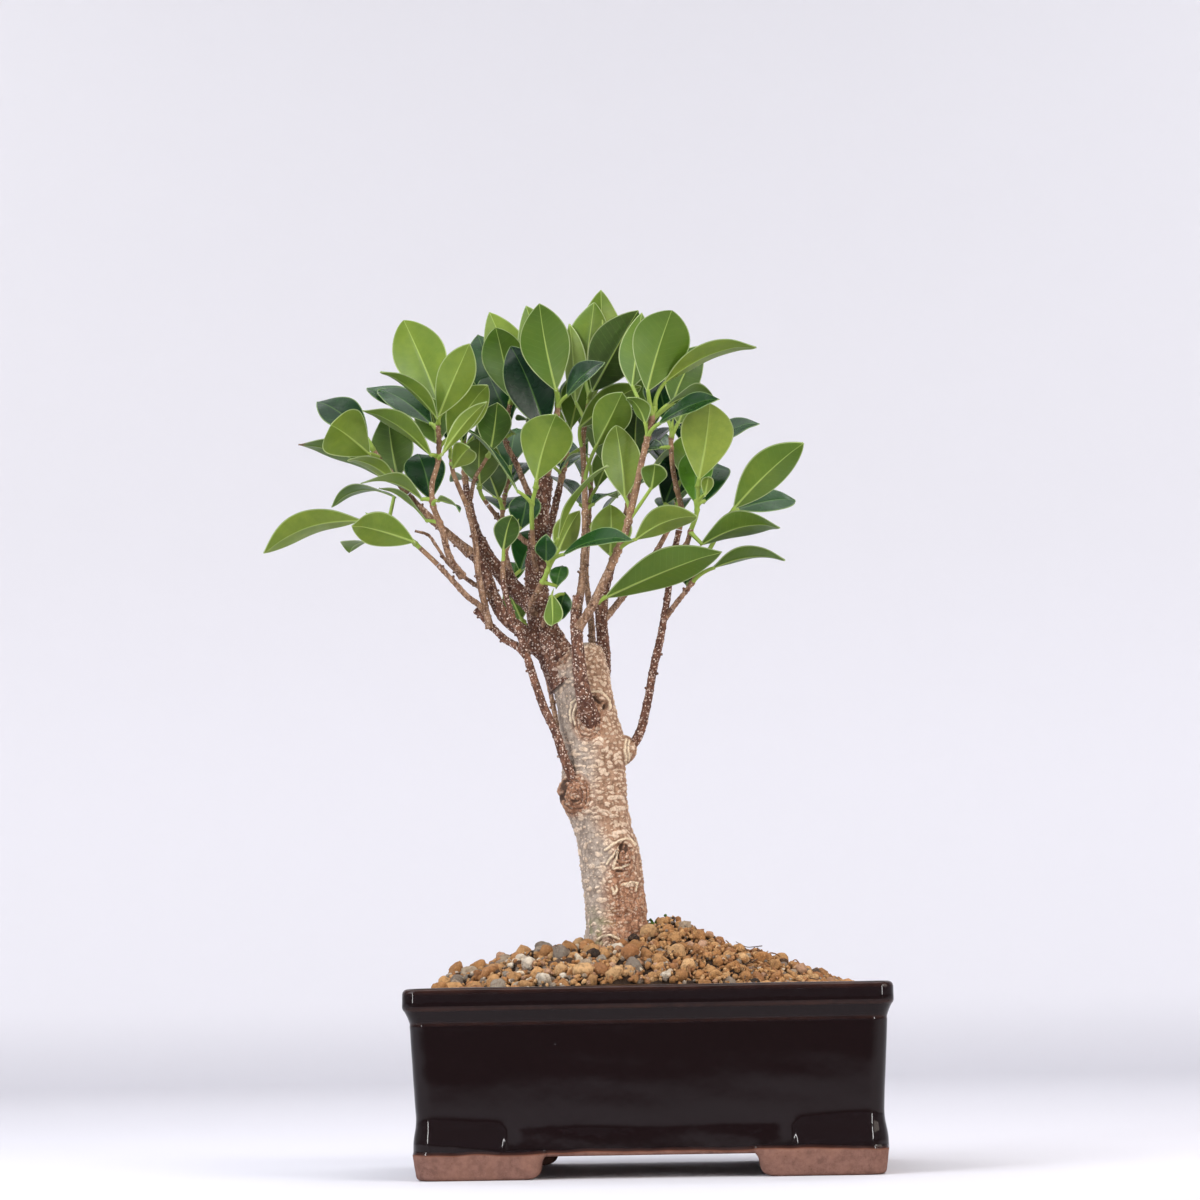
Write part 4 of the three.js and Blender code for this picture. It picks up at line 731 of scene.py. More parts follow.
def leafy_twigs():
    laid, taken = [], []
    for name, twig in TWIGS.items():
        if not twig.get("whorl") and not twig["leaves"]:
            continue
        curve, split = lay_out(twig)
        start = split + GAP / curve.length
        leaves = [view_leaf(row) for row in twig.get("leaves", [])]
        taken.append(curve.point(np.arange(13) / 12))
        taken.extend(blade_points(leaf) for leaf in leaves)
        laid.append({"name": name, "twig": twig, "curve": curve, "start": start, "leaves": leaves})
    for item in laid:
        if item["twig"].get("whorl"):
            item["leaves"] += whorl_leaves(item["curve"], item["start"], item["twig"]["whorl"], taken)
    return laid


# ---------------------------------------------------------------- leaves and shoots

ACROSS = np.array([0, 0.03, 0.07, 0.13, 0.24, 0.38, 0.54, 0.7, 0.84, 0.94, 1])
ACROSS = np.concatenate([-ACROSS[:0:-1], ACROSS])
ALONG = np.concatenate([[0, 0.012, 0.03, 0.055], np.linspace(0.09, 0.93, 24), [0.955, 0.975, 0.99, 1]])
LEAF_THICKNESS = 0.5
VEIN_SPACING = 3.1
VEIN_SLOPE = 0.55


def add_blade(piece, leaf, rng):
    """A leathery blade, folded along its midrib, arched and a little waved, with a keeled rib beneath."""
    along, out, side = blade_axes(leaf)
    length = np.linalg.norm(along)
    axis = along / length
    place, across = np.meshgrid(ALONG, ACROSS, indexing="ij")
    half = np.maximum(half_width(place, leaf["width"], leaf["blunt"]), 0.32)
    fold = math.radians(rng.uniform(6, 17))
    wave = rng.uniform(0.2, 0.6)
    phase = rng.uniform(0, 6.3)
    skew = rng.uniform(-0.05, 0.05) * leaf["width"]
    lift = np.abs(across) ** 1.3 * half * math.tan(fold) * np.sin(math.pi * np.clip(place, 0.02, 1)) ** 0.4
    lift += wave * across**2 * np.sin(place * 9 + phase + 1.3 * np.sign(across)) * smoothstep(0, 0.25, place)
    tip_curl = -rng.uniform(0.5, 2.2) * smoothstep(0.72, 1, place) ** 2
    middle = leaf["base"] + along * place[..., None]
    middle = middle + out * (leaf["arch"] * np.sin(math.pi * place) + tip_curl + lift)[..., None]
    sideways = across * half * math.cos(fold * 0.7) + skew * np.sin(math.pi * place)
    middle = middle + side * sideways[..., None]
    rib = np.exp(-((np.abs(across) * half / 0.55) ** 2)) * (1 - 0.75 * place)
    edge = np.sqrt(np.clip(1 - np.abs(across) ** 12, 0, 1))
    slant = place * length - np.abs(across) * half * VEIN_SLOPE
    veins = np.sin(slant * 2 * math.pi / VEIN_SPACING)
    quilt = 0.035 * veins * smoothstep(0.1, 0.3, np.abs(across)) * (1 - np.abs(across))
    thick = LEAF_THICKNESS / 2 * (0.25 + 0.75 * edge)
    top = middle + out * (thick - 0.16 * rib + quilt)[..., None]
    under = middle - out * (thick + 0.5 * rib - quilt)[..., None]
    rows, columns = place.shape
    faces = grid_faces(rows, columns)
    rim = np.concatenate([
        np.arange(rows) * columns,
        (rows - 1) * columns + np.arange(1, columns),
        np.arange(rows - 2, -1, -1) * columns + columns - 1,
        np.arange(columns - 2, 0, -1),
    ])
    beneath = rim + rows * columns
    band = np.stack([rim, np.roll(rim, -1), np.roll(beneath, -1), beneath], axis=1)
    dry = smoothstep(0.93, 0.97, place + 0.02 * np.sin(across * 9)) * leaf.get("dry", 0)
    values = {
        "along": np.tile(place.ravel(), 2),
        "rib": np.tile((np.abs(across) * half).ravel(), 2),
        "margin": np.tile(((1 - np.abs(across)) * half).ravel(), 2),
        "slant": np.tile(slant.ravel(), 2),
        "upper": np.repeat([1.0, 0.0], rows * columns),
        "shade": leaf["shade"],
        "olive": leaf["olive"],
        "dry": np.tile(dry.ravel(), 2),
        "stem": 0,
    }
    points = np.vstack([top.reshape(-1, 3), under.reshape(-1, 3)])
    piece.add(points, [faces, faces[:, ::-1] + rows * columns, band[:, ::-1]], **values)
    return axis


def add_tube(piece, curve, radius, step, sides, start=0.0, end=1.0, relief=None, **values):
    steps = max(2, int(curve.length * (end - start) / step))
    points = with_ends(tube(curve, radius, steps, sides, start, end, relief), sides)
    shares = np.append(np.repeat(np.linspace(start, end, steps + 1), sides), [start, end])
    given = {k: (v(shares) if callable(v) else v) for k, v in values.items()}
    piece.add(points, tube_faces(steps, sides), **given)


def add_stalk(piece, leaf, stem_point, stem_direction, axis):
    """A leaf's stalk, running into the foot of its blade."""
    base = leaf["base"] + axis * 1.2
    reach = np.linalg.norm(base - stem_point)
    bend = (stem_point + stem_direction * reach * 0.35 + base - axis * reach * 0.4) / 2
    t = np.linspace(0, 1, 7)[:, None]
    curve = Curve((1 - t) ** 2 * stem_point + 2 * t * (1 - t) * bend + t**2 * base)
    thin = 0.75 + 0.012 * leaf["width"]

    def radius(s):
        return thin * (1 + 0.5 * math.exp(-s * reach / 1.2) - 0.12 * s)

    add_tube(piece, curve, radius, 1.0, 10, shade=leaf["shade"], olive=leaf["olive"], stem=0.45)


def add_bud(piece, curve, radius):
    """The pointed sheath of young leaves at a shoot's end."""
    tip, heading = curve.point(1.0), curve.tangent(1.0)
    bud = Curve([tip - heading, tip + heading * 1.5, tip + heading * 4.2 + np.array([0.3, 0, 0.4])])
    add_tube(piece, bud, lambda s: radius * 1.15 * max(0.08, (1 - s) ** 0.7), 0.6, 10, shade=0.5, stem=0.35)


# Twigs that are green over most of their leafy end; the others stay brown nearly to the tip.
GREEN_ENDS = {
    "front_fan", "left_low", "behind_leader", "right_fan", "tan_centre", "low_hanging", "low_left_leaf",
    "front_low", "right_low",
}


def shoot_radius(twig):
    first, last = twig["radius"]
    return lambda s: lerp(first, last, s)


def add_shoot(item, material):
    twig, curve, start = item["twig"], item["curve"], item["start"]
    rng = np.random.RandomState(sum(map(ord, item["name"])))
    piece = Piece("along", "rib", "margin", "slant", "upper", "shade", "olive", "dry", "stem")
    places = [lerp(start, 1, min(max(leaf["place"], 0.04), 0.985)) for leaf in item["leaves"]]
    radius = shoot_radius(twig)

    def swollen(s):
        nodes = sum(math.exp(-(((s - p) * curve.length / 0.9) ** 2)) for p in places)
        return radius(s) * (1 + 0.28 * min(nodes, 1.2))

    def woodiness(s):
        green_from = 0.2 if item["name"] in GREEN_ENDS else 0.86
        return 1 - 0.6 * smoothstep(green_from, green_from + 0.12, (s - start) / (1 - start))

    add_tube(piece, curve, swollen, 0.5, 14, start=start, stem=woodiness, shade=0.3)
    add_bud(piece, curve, radius(1))
    for leaf, place in zip(item["leaves"], places):
        axis = add_blade(piece, leaf, rng)
        add_stalk(piece, leaf, curve.point(place), curve.tangent(place), axis)
    return piece.make(f"leaves_{item['name']}", material, "leaf", f"shoot_{item['name']}")


# ---------------------------------------------------------------- the wood

# On the side that the front view shows, in its coordinates: thin raised ridges of cream bark round old branch
# bases, cream patches (x, y, half width, half height), hollows that are sunk and painted dark as shade (x, y,
# half width, half height, depth), and places where the bark wrinkles in rings (x, y, reach, share of
# red-brown).
BARK_RIDGES = [
    [(587, 693), (592, 691.5), (600, 692), (606, 696), (609, 702), (609.5, 708)],
    [(577, 698), (572, 704), (570, 712), (571, 721)],
    [(579, 700), (575, 707), (573.5, 716), (575, 724)],
    [(605, 850), (611, 845.5), (618, 841), (625, 838), (631, 839.5), (634.5, 845)],
    [(607, 864), (611, 858), (616, 852), (619, 847)],
    [(618, 853), (615.5, 860), (613, 868), (621, 868), (629, 864)],
    [(612, 888), (614.5, 894), (617.5, 889), (616, 886)],
    [(622, 885), (630, 882.5), (636, 883), (635.5, 891)],
    [(598, 939), (606, 935.5), (613, 936), (619, 939)],
    [(626, 764), (623.5, 752), (626, 739)],
    [(629, 761), (627, 751), (629, 741)],
]
CREAM_PATCHES = [
    (567, 681.5, 5, 1.5), (561, 690, 2, 4), (557, 677, 2.6, 1.6), (568.5, 742.5, 6, 1.4),
    (575, 754.5, 7, 1.7), (579, 766, 7.5, 1.2), (580, 772, 4, 1.3), (584, 749.5, 4.6, 2.6),
    (584.5, 743.5, 2.6, 1.8), (590, 757.5, 2.3, 1.4), (594, 751.3, 4.2, 1.5), (599, 761.5, 3.6, 1.8),
    (594, 766.5, 3.4, 1.7), (603, 771, 3.2, 2.8), (610, 767, 3.4, 2), (587, 811.5, 5.5, 1.7),
    (601, 810.5, 4.6, 2.2), (597, 817.5, 4.6, 2), (581, 818, 3, 3), (616, 797.5, 9, 2.4),
    (618, 808.5, 8.5, 3), (621, 824, 6.5, 1.7), (619, 832.5, 8, 1.8), (612, 816, 3, 2),
    (577, 830, 3, 2.5), (597, 835.5, 2.2, 1.6), (592, 866.5, 4, 2.8), (602.5, 868.5, 4.4, 3.4),
    (605, 844, 2, 1.6), (598.5, 854.5, 3.6, 2.4), (587, 881, 3.4, 2), (602, 900, 6, 2.6),
    (590, 889, 2, 2.5), (630, 885.5, 5, 1.6), (586, 846, 2, 4), (580, 852, 1.5, 3), (586, 860, 1.6, 2.4),
]
HOLLOWS = [
    (594, 698, 4.6, 2.8, 1.5), (600, 702, 3.6, 2.4, 1.5), (605, 706.5, 3, 3.6, 1.6), (597, 700, 3, 2, 0.8),
    (621.5, 846, 3.2, 4.6, 1.2), (626, 849, 2.2, 5, 0.6), (619, 871, 6, 1.2, 0.8), (563, 786, 3, 8, 0.9),
    (562, 797, 3.4, 5, 1.1), (568, 780, 3, 3, 0.7), (574, 801, 4.5, 2, 0.6),
]
RING_WRINKLES = [
    (575, 795, 18, 1.0), (588, 721, 17, 0.8), (624, 855, 11, 0.8), (606, 946, 13, 0.4), (557, 655, 14, 0.8),
]
TRUNK_SIDES, TRUNK_STEPS = 236, 460
TRUNK_RADIUS = 13.5
COLLAR = 0.35


def distance_to_line(x, y, line):
    best = np.full(len(x), 1e9)
    for (ax, ay), (bx, by) in zip(line, line[1:]):
        dx, dy = bx - ax, by - ay
        t = np.clip(((x - ax) * dx + (y - ay) * dy) / (dx * dx + dy * dy), 0, 1)
        best = np.minimum(best, np.hypot(x - ax - t * dx, y - ay - t * dy))
    return best


def trunk_rings():
    rows = []
    for y, left, right in TRUNK:
        middle = seen((left + right) / 2, y, 0)
        width = np.linalg.norm(seen(right, y, 0) - seen(left, y, 0))
        rows.append([*middle, width / 2])
    return np.array(rows)


def smooth_max(a, b, blend):
    h = np.clip(0.5 + (a - b) / (2 * blend), 0, 1)
    return lerp(b, a, h) + blend * h * (1 - h)


def knot_reach(axis_points, out):
    """How far from the trunk's axis each knot's surface lies along each point's direction, or 0."""
    reaches = []
    for x, y, depth, half_w, half_h, half_t in KNOTS:
        size = np.array([half_w, half_t, half_h])
        from_centre = (axis_points - seen(x, y, depth)) / size
        direction = out / size
        a = (direction**2).sum(1)
        b = (from_centre * direction).sum(1)
        c = (from_centre**2).sum(1) - 1
        root = b * b - a * c
        reaches.append(np.where(root > 0, (-b + np.sqrt(np.maximum(root, 0))) / a, 0))
    return reaches


def trunk_form(sides, steps):
    """The trunk before its bark: points, outward directions, how much is knot, and the angle round it."""
    rows = Curve(trunk_rings())
    line = rows.at(np.linspace(0, 1, steps + 1))
    line = np.stack([np.interp(np.linspace(line[0, 2], line[-1, 2], steps + 1), line[:, 2], line[:, k])
        for k in range(4)], axis=1)
    angle = np.arange(sides) / sides * 2 * math.pi
    out = np.tile(np.stack([np.cos(angle), np.sin(angle), np.zeros(sides)], axis=1), (steps + 1, 1))
    z = np.repeat(line[:, 2], sides)
    turn = np.tile(angle, steps + 1)
    flare = np.clip((TRUNK_FOOT[2] + BUTTRESS["above"] - z) / BUTTRESS["fade"], 0, 1)
    swell = 1 + BUTTRESS["swell"] * flare * np.cos(BUTTRESS["count"] * turn + BUTTRESS["phase"])
    swell += 0.02 * np.sin(5 * turn + z / 6)
    reach = np.repeat(line[:, 3], sides) * swell
    axis_points = np.repeat(line[:, :3], sides, axis=0)
    # The cut top is domed.
    reach *= np.sqrt(np.clip((line[-1, 2] + 1.5 - z) / 3.5, 0.02, 1))
    knots = np.zeros(len(z))
    for bulge in knot_reach(axis_points, out):
        knots = np.maximum(knots, smoothstep(-2, 1.5, bulge - reach) * (bulge > 0))
        reach = smooth_max(reach, bulge, 1.6)
    return axis_points + out * reach[:, None], out, knots, turn


def bark_marks(points, out, x, y):
    """Marks of the bark: ridges, cream patches, painted shade, how far it is sunk, rings, and red-brown."""
    front = smoothstep(0.25, -0.1, out[:, 1])
    bent_x, bent_y = x + 0.5 * waves(points, 5, 5), y + 0.5 * waves(points, 5, 6)
    ridges, cream, dark, sunk, rings, red = (np.zeros(len(x)) for _ in range(6))
    for ridge in BARK_RIDGES:
        near = distance_to_line(bent_x, bent_y, ridge)
        ridges = np.maximum(ridges, np.exp(-((near / 1.05) ** 2)) * front)
        # A band of painted shadow runs along each side of the ridge.
        dark = np.maximum(dark, 0.5 * np.exp(-(((near - 2.3) / 0.7) ** 2)) * front)
    for px, py, half_w, half_h in CREAM_PATCHES:
        near = np.hypot((bent_x - px) / half_w, (bent_y - py) / half_h)
        cream = np.maximum(cream, (1 - smoothstep(0.7, 1.15, near)) * front)
    for hx, hy, half_w, half_h, depth in HOLLOWS:
        near = np.hypot((x - hx) / half_w, (y - hy) / half_h) + 0.3 * waves(points, 2.5, 9)
        inside = (1 - smoothstep(0.4, 1.25, near)) * front
        # The hollows are painted dark as shade, as well as sunk.
        dark = np.maximum(dark, inside)
        sunk = np.maximum(sunk, inside * depth)
    for rx, ry, reach, share in RING_WRINKLES:
        apart = np.hypot(x - rx, (y - ry) * 0.8) + 1.3 * waves(points, 8, 11)
        inside = (1 - smoothstep(0.7, 1.15, apart / reach)) * front
        rings = np.where(inside > 0.02, inside * np.cos(apart * 2 * math.pi / 3.4), rings)
        red = np.maximum(red, share * inside)
    return ridges, cream, dark, sunk, rings, red


def add_trunk(piece):
    sides, steps = TRUNK_SIDES, TRUNK_STEPS
    points, out, knots, turn = trunk_form(sides, steps)
    z = points[:, 2]
    x, y = view_of(points)
    ridges, cream, dark, sunk, rings, red = bark_marks(points, out, x, y)
    above = z - TRUNK_FOOT[2]
    base = smoothstep(30, 16, above + 4 * waves(points, 14, 41)) * smoothstep(-0.55, 0.15, out[:, 0])
    red = np.clip(np.maximum(red, base) + 0.35 * knots, 0, 1)
    grey = smoothstep(0.35, -0.35, out[:, 0] + 0.3 * waves(points * [1, 1, 0.6], 24, 3)) * (1 - red)
    around = 2 * math.pi * TRUNK_RADIUS
    u, v = turn / (2 * math.pi) * around, z - z.min() + 0.8 * waves(points, 7, 12)
    ovals = spots(u, v, around, 3.3, 2.2, 1.45, 0.8, 0.85, 21)
    sparse = spots(u, v + 1.1, around, 4.4, 3.1, 1.2, 0.75, 0.5, 22)
    fine = spots(u, v + 0.7, around, 2.0, 1.5, 0.75, 0.42, 0.6, 23)
    lens = lerp(ovals, sparse, smoothstep(0.3, 0.8, grey))
    lens = np.maximum(lens, 0.75 * fine) * (1 - 0.6 * red) * (1 - dark)
    lens = np.maximum(lens, cream)
    cells = np.abs(waves(points * [1, 1, 0.6], 3.4, 31))
    relief = 0.4 * lens + 0.7 * ridges - sunk + 0.34 * rings * (1 - dark) + 0.3 * waves(points, 8, 2)
    relief += 0.1 * waves(points * [0.4, 0.4, 1], 1.7, 15)
    relief += red * (0.42 * waves(points * [1, 1, 0.7], 3.0, 8) - 0.3 + 0.5 * cells)
    shown = smoothstep(-16, -6, above)
    points = points + out * (relief * shown)[:, None]
    moss = smoothstep(13, -2, above) * smoothstep(0.3, -0.5, out[:, 0])
    moss = moss * smoothstep(-0.4, 0.6, waves(points, 5, 77))
    points = with_ends(points, sides)

    def closed(values):
        return np.append(values, [0, 0])

    # Painted shade: the dark marks, the troughs of the ring wrinkles and the low cells of the red-brown bark.
    shade = np.clip(dark + 0.6 * np.clip(-rings, 0, 1) + 0.3 * np.clip(0.35 - cells, 0, 1) * red, 0, 1)
    marks = {"lens": lens, "cream": ridges, "patch": grey, "dark": shade, "rough": red, "moss": moss}
    piece.add(points, tube_faces(steps, sides), age=0, **{name: closed(mark) for name, mark in marks.items()})


def add_limb(piece, curve, first, last, seed, end=1.0, taper=math.sqrt, old=1.0, nodes=11.0):
    """A limb or twig, dotted with lenticels, ringed at leaf scars, and swollen where it leaves its parent."""
    around = 2 * math.pi * (first + last) / 2
    rng = np.random.RandomState(seed)
    rings = np.cumsum(rng.uniform(0.6, 1.4, 60) * nodes)
    steps = max(8, int(curve.length * end / 0.42))
    sides = int(np.clip(around / 0.42, 16, 110))
    kept = {}

    def radius(s):
        base = lerp(first, last, taper(s))
        return base * (1 + COLLAR * math.exp(-s * curve.length / (1.8 * first)))

    def relief(share, angle, points, reach):
        v = share * curve.length
        u = angle / (2 * math.pi) * around
        size = 0.55 + 0.04 * first
        lens = spots(u, v + 0.6 * waves(points, 5, seed), around, 2.6, 2.1, size, size * 0.62, 0.5, seed)
        on_limb = [r for r in rings if r < curve.length]
        scar = sum(np.exp(-(((v - r - 0.5 * np.sin(angle + r)) / 0.55) ** 2)) for r in on_limb)
        wrinkle = waves(points, 1.6, seed + 5)
        lump = waves(points, 9, seed + 2)
        kept["lens"], kept["scar"] = lens, np.clip(scar, 0, 1)
        grow = 0.4 + 0.1 * first
        return grow * (0.26 * lens + 0.34 * kept["scar"] + 0.16 * wrinkle) + 0.045 * reach * lump

    points = with_ends(tube(curve, radius, steps, sides, 0, end, relief), sides)
    closed = {k: np.append(v, [0, 0]) for k, v in kept.items()}
    piece.add(points, tube_faces(steps, sides), age=old, lens=closed["lens"], cream=0, patch=0,
        dark=0.4 * closed["scar"], rough=0.5, moss=0)


def add_leaf_scars(piece, curve, radius_at, seed, end, count):
    """Small stubs of fallen stalks and side buds along a twig."""
    rng = np.random.RandomState(seed)
    for share in np.sort(rng.uniform(0.12, 0.96, count)) * end:
        middle, along = curve.point(share), curve.tangent(share)
        side = unit(np.cross(along, rng.normal(size=3)))
        reach = radius_at(share)
        foot, tip = middle + side * reach * 0.5, middle + side * (reach + 0.9) + along * 0.9
        stub = Curve([foot, (foot + tip) / 2 + along * 0.2, tip])
        add_tube(piece, stub, lambda s: 0.85 - 0.35 * s, 0.35, 9, age=0.9, dark=0.35, rough=1)


# Twigs old enough to be dotted like the limbs.
DOTTED_TWIGS = {"right_upright", "crown_centre", "back_left", "back_middle", "back_right", "left_spire"}


def make_wood(material):
    piece = Piece("age", "lens", "cream", "patch", "dark", "rough", "moss")
    add_trunk(piece)
    for number, (name, (first, last, points)) in enumerate(LIMBS.items()):
        curve = Curve([seen(*p) for p in points])
        add_limb(piece, curve, first, last, 100 + number)
        if first < 4.5 and curve.length > 20:
            add_leaf_scars(piece, curve, lambda s: lerp(first, last, math.sqrt(s)), number, 1.0, 3)
    for number, (name, twig) in enumerate(TWIGS.items()):
        curve, split = lay_out(twig)
        first, last = twig["radius"]
        old = 1.0 if name in DOTTED_TWIGS else 0.74
        add_limb(piece, curve, first, last, 200 + number, end=split, taper=lambda s: s, old=old, nodes=7.0)
        add_leaf_scars(piece, curve, lambda s: lerp(first, last, s), 40 + number, split, 4)
    return piece.make("bark", material, "bark", "wood")


# ---------------------------------------------------------------- the pot

FOOT_SOFTNESS = 2.5
FOOT_HEIGHTS = [0.0, 0.15, 0.4, 0.8, 1.3, 1.8, 2.6, 3.6, 4.8, 6.0, 7.2, 8.4, 9.6, 10.8, 12.4]
CORNER_STEPS = 12
WALL_PITCH = 2.2
DRAIN_SIDES = 40


def inner_inset(z):
    rise = (z - FLOOR_TOP) / (POT_HEIGHT - FLOOR_TOP)
    return lerp(BODY_FOOT_INSET + POT_WALL, LIP, rise)


def rounded_ring(inset, radius):
    """Points of a rounded rectangle inside the rim's outline, with their outward directions."""
    half = np.array([POT_WIDTH / 2 - inset, POT_DEPTH / 2 - inset])
    straight = [int((side - 2 * CORNER_RADIUS) / WALL_PITCH) for side in (POT_WIDTH, POT_DEPTH)]
    corners = [(1, 1, 0), (-1, 1, 90), (-1, -1, 180), (1, -1, 270)]
    points, normals = [], []
    for number, (sx, sy, start) in enumerate(corners):
        middle = np.array([sx, sy]) * (half - radius)
        angles = np.radians(start + 90 * np.arange(CORNER_STEPS + 1) / CORNER_STEPS)
        out = np.stack([np.cos(angles), np.sin(angles)], axis=1)
        arc = middle + radius * out
        following = corners[(number + 1) % 4]
        turned = math.radians(start + 90)
        turned_out = np.array([math.cos(turned), math.sin(turned)])
        goal = np.array(following[:2]) * (half - radius) + radius * turned_out
        count = straight[number % 2]
        shares = (np.arange(1, count) / count)[:, None]
        points += [arc, lerp(arc[-1], goal, shares)]
        normals += [out, np.repeat(out[-1:], count - 1, axis=0)]
    return np.vstack(points), np.vstack(normals)


def foot_bulge(x, y, z):
    """How far a foot's raised face stands out of the wall, at a place on the wall's outside."""
    along_x, along_y = POT_WIDTH / 2 - np.abs(x), POT_DEPTH / 2 - np.abs(y)
    on_front = along_y < along_x
    reach = np.where(on_front, along_x, along_y)
    length = np.where(on_front, FOOT_LENGTH - 13.5, FOOT_SIDE_LENGTH - 9)
    side_fade = 1 - smoothstep(length - 3.4, length + 1.8, reach)
    height_fade = 1 - smoothstep(FOOT_HEIGHT + 2, FOOT_FADE, z - 0.06 * (length - reach))
    dimple = np.exp(-(((reach - length - 2.2) / 1.8) ** 2)) * (1 - smoothstep(14, 25, z))
    return FOOT_PROUD * side_fade * height_fade**1.3 - 0.9 * dimple


def pot_profile():
    """Rings of the pot from the floor's underside, up the outside, over the lip and down to the floor inside:
    [inset, corner radius, height, thinness of the glaze]."""
    low = POT_HEIGHT - RIM_BAND
    rows = [
        [BODY_FOOT_INSET + 7, 6, FLOOR_UNDERSIDE, 0],
        [BODY_FOOT_INSET + 2.5, 6, FLOOR_UNDERSIDE, 0],
        [BODY_FOOT_INSET + 1.2, 7, FLOOR_UNDERSIDE + 0.15, 0],
        [BODY_FOOT_INSET + 0.4, 7.6, FLOOR_UNDERSIDE + 0.6, 0],
        [BODY_FOOT_INSET, 8, FLOOR_UNDERSIDE + 1.4, 0],
    ]
    for z in np.linspace(FLOOR_UNDERSIDE + 2.2, BODY_TOP - 2.4, 46):
        share = min(1, max(0, (z - 22) / (BODY_TOP - 22)))
        rows.append([lerp(BODY_FOOT_INSET, BODY_TOP_INSET + 0.1, share), 8, z, 0])
    rows += [
        [BODY_TOP_INSET + 0.15, 8, BODY_TOP - 1.4, 0],
        [BODY_TOP_INSET + 0.14, 7.9, BODY_TOP - 0.8, 0.2],
        [BODY_TOP_INSET + 0.2, 7.8, BODY_TOP - 0.3, 0.5],
        [BODY_TOP_INSET + 0.2, 7.7, BODY_TOP + 0.2, 0.4],
        [BODY_TOP_INSET + 0.05, 7.5, BODY_TOP + 0.8, 0.1],
        [BODY_TOP_INSET - 0.3, 7.3, BODY_TOP + 1.9, 0],
        [BODY_TOP_INSET - 0.7, 7.1, BODY_TOP + 3.0, 0],
        [BODY_TOP_INSET - 1.2, 7, BODY_TOP + 4.1, 0],
        [1.1, 7, low - 0.4, 0],
        [0.8, 7, low + 0.1, 0.4],
        [0.4, 7, low + 0.6, 0.8],
        [0.12, 7, low + 1.3, 0.5],
        [0, 7, low + 2.2, 0],
        [0.05, 7, low + 4.5, 0],
        [0.05, 7, POT_HEIGHT - 3.2, 0],
        [0.05, 7, POT_HEIGHT - 2.2, 0.3],
        [0.3, 6.8, POT_HEIGHT - 1.3, 0.8],
        [0.8, 6.5, POT_HEIGHT - 0.6, 1],
        [1.5, 6.2, POT_HEIGHT - 0.2, 0.6],
        [2.4, 6, POT_HEIGHT, 0.1],
        [4.5, 6, POT_HEIGHT, 0],
        [LIP - 2.2, 6, POT_HEIGHT, 0],
        [LIP - 1, 6, POT_HEIGHT - 0.35, 0.4],
        [LIP - 0.3, 6, POT_HEIGHT - 1, 0.6],
        [LIP, 6, POT_HEIGHT - 2, 0],
    ]
    for z in np.linspace(POT_HEIGHT - 6, FLOOR_TOP, 14):
        rows.append([inner_inset(z), 6, z, 0])
    rows.append([BODY_FOOT_INSET + POT_WALL + 6, 6, FLOOR_TOP, 0])
    return rows


def add_pot_wall(piece):
    profile = pot_profile()
    rings = []
    thin = []
    for inset, radius, z, edge in profile:
        flat, normals = rounded_ring(inset, radius)
        outside = inset < BODY_FOOT_INSET + 3 and z < BODY_TOP
        grow = foot_bulge(flat[:, 0], flat[:, 1], z) if outside else np.zeros(len(flat))
        ring = np.column_stack([flat, np.full(len(flat), z)])
        uneven = 0.16 * waves(ring, 60, 4) + 0.05 * waves(ring, 17, 5)
        ring[:, :2] += normals * (grow + (uneven if inset < LIP else 0))[:, None]
        ring[:, 2] += 0.18 * waves(ring, 90, 6) if z > POT_HEIGHT - 3 else 0
        rings.append(ring)
        thin.append(np.full(len(ring), edge))
    count = len(rings[0])
    faces = grid_faces(len(rings), count, wraps=True)
    piece.add(np.vstack(rings), faces, thin=np.concatenate(thin))
    return rings[0], rings[-1]


def drain_outline(sign):
    angle = np.arange(DRAIN_SIDES) / DRAIN_SIDES * 2 * math.pi
    x = sign * DRAIN_SPACING / 2 + DRAIN_DIAMETER / 2 * np.cos(angle)
    return np.column_stack([x, DRAIN_DIAMETER / 2 * np.sin(angle)])


def add_floor(piece, low_ring, high_ring):
    """The floor between the two rings, pierced by the drain holes, as a flat sheet each way and two bores."""
    for ring, z, flip in ((low_ring, FLOOR_UNDERSIDE, True), (high_ring, FLOOR_TOP, False)):
        points, faces = pierced_sheet(ring, z)
        piece.add(points, faces[:, ::-1] if flip else faces, thin=0)
    for sign in (-1, 1):
        outline = drain_outline(sign)
        heights = np.linspace(FLOOR_UNDERSIDE, FLOOR_TOP, 5)
        bore = [np.column_stack([outline, np.full(DRAIN_SIDES, z)]) for z in heights]
        piece.add(np.vstack(bore), grid_faces(5, DRAIN_SIDES, wraps=True)[:, ::-1], thin=0)


def pierced_sheet(ring, z):
    """Triangles between an outline and the drain holes, at one height."""
    sheet = bmesh.new()
    loops = [ring[:, :2], drain_outline(-1), drain_outline(1)]
    edges = []
    for loop in loops:
        verts = [sheet.verts.new((x, y, z)) for x, y in loop]
        edges += [sheet.edges.new((a, b)) for a, b in zip(verts, verts[1:] + verts[:1])]
    bmesh.ops.triangle_fill(sheet, edges=edges, use_beauty=True, normal=(0, 0, 1))
    up = np.array([f.normal.z for f in sheet.faces]) > 0
    points, faces = read_and_free(sheet)
    faces[~up] = faces[~up][:, ::-1]
    return points, faces


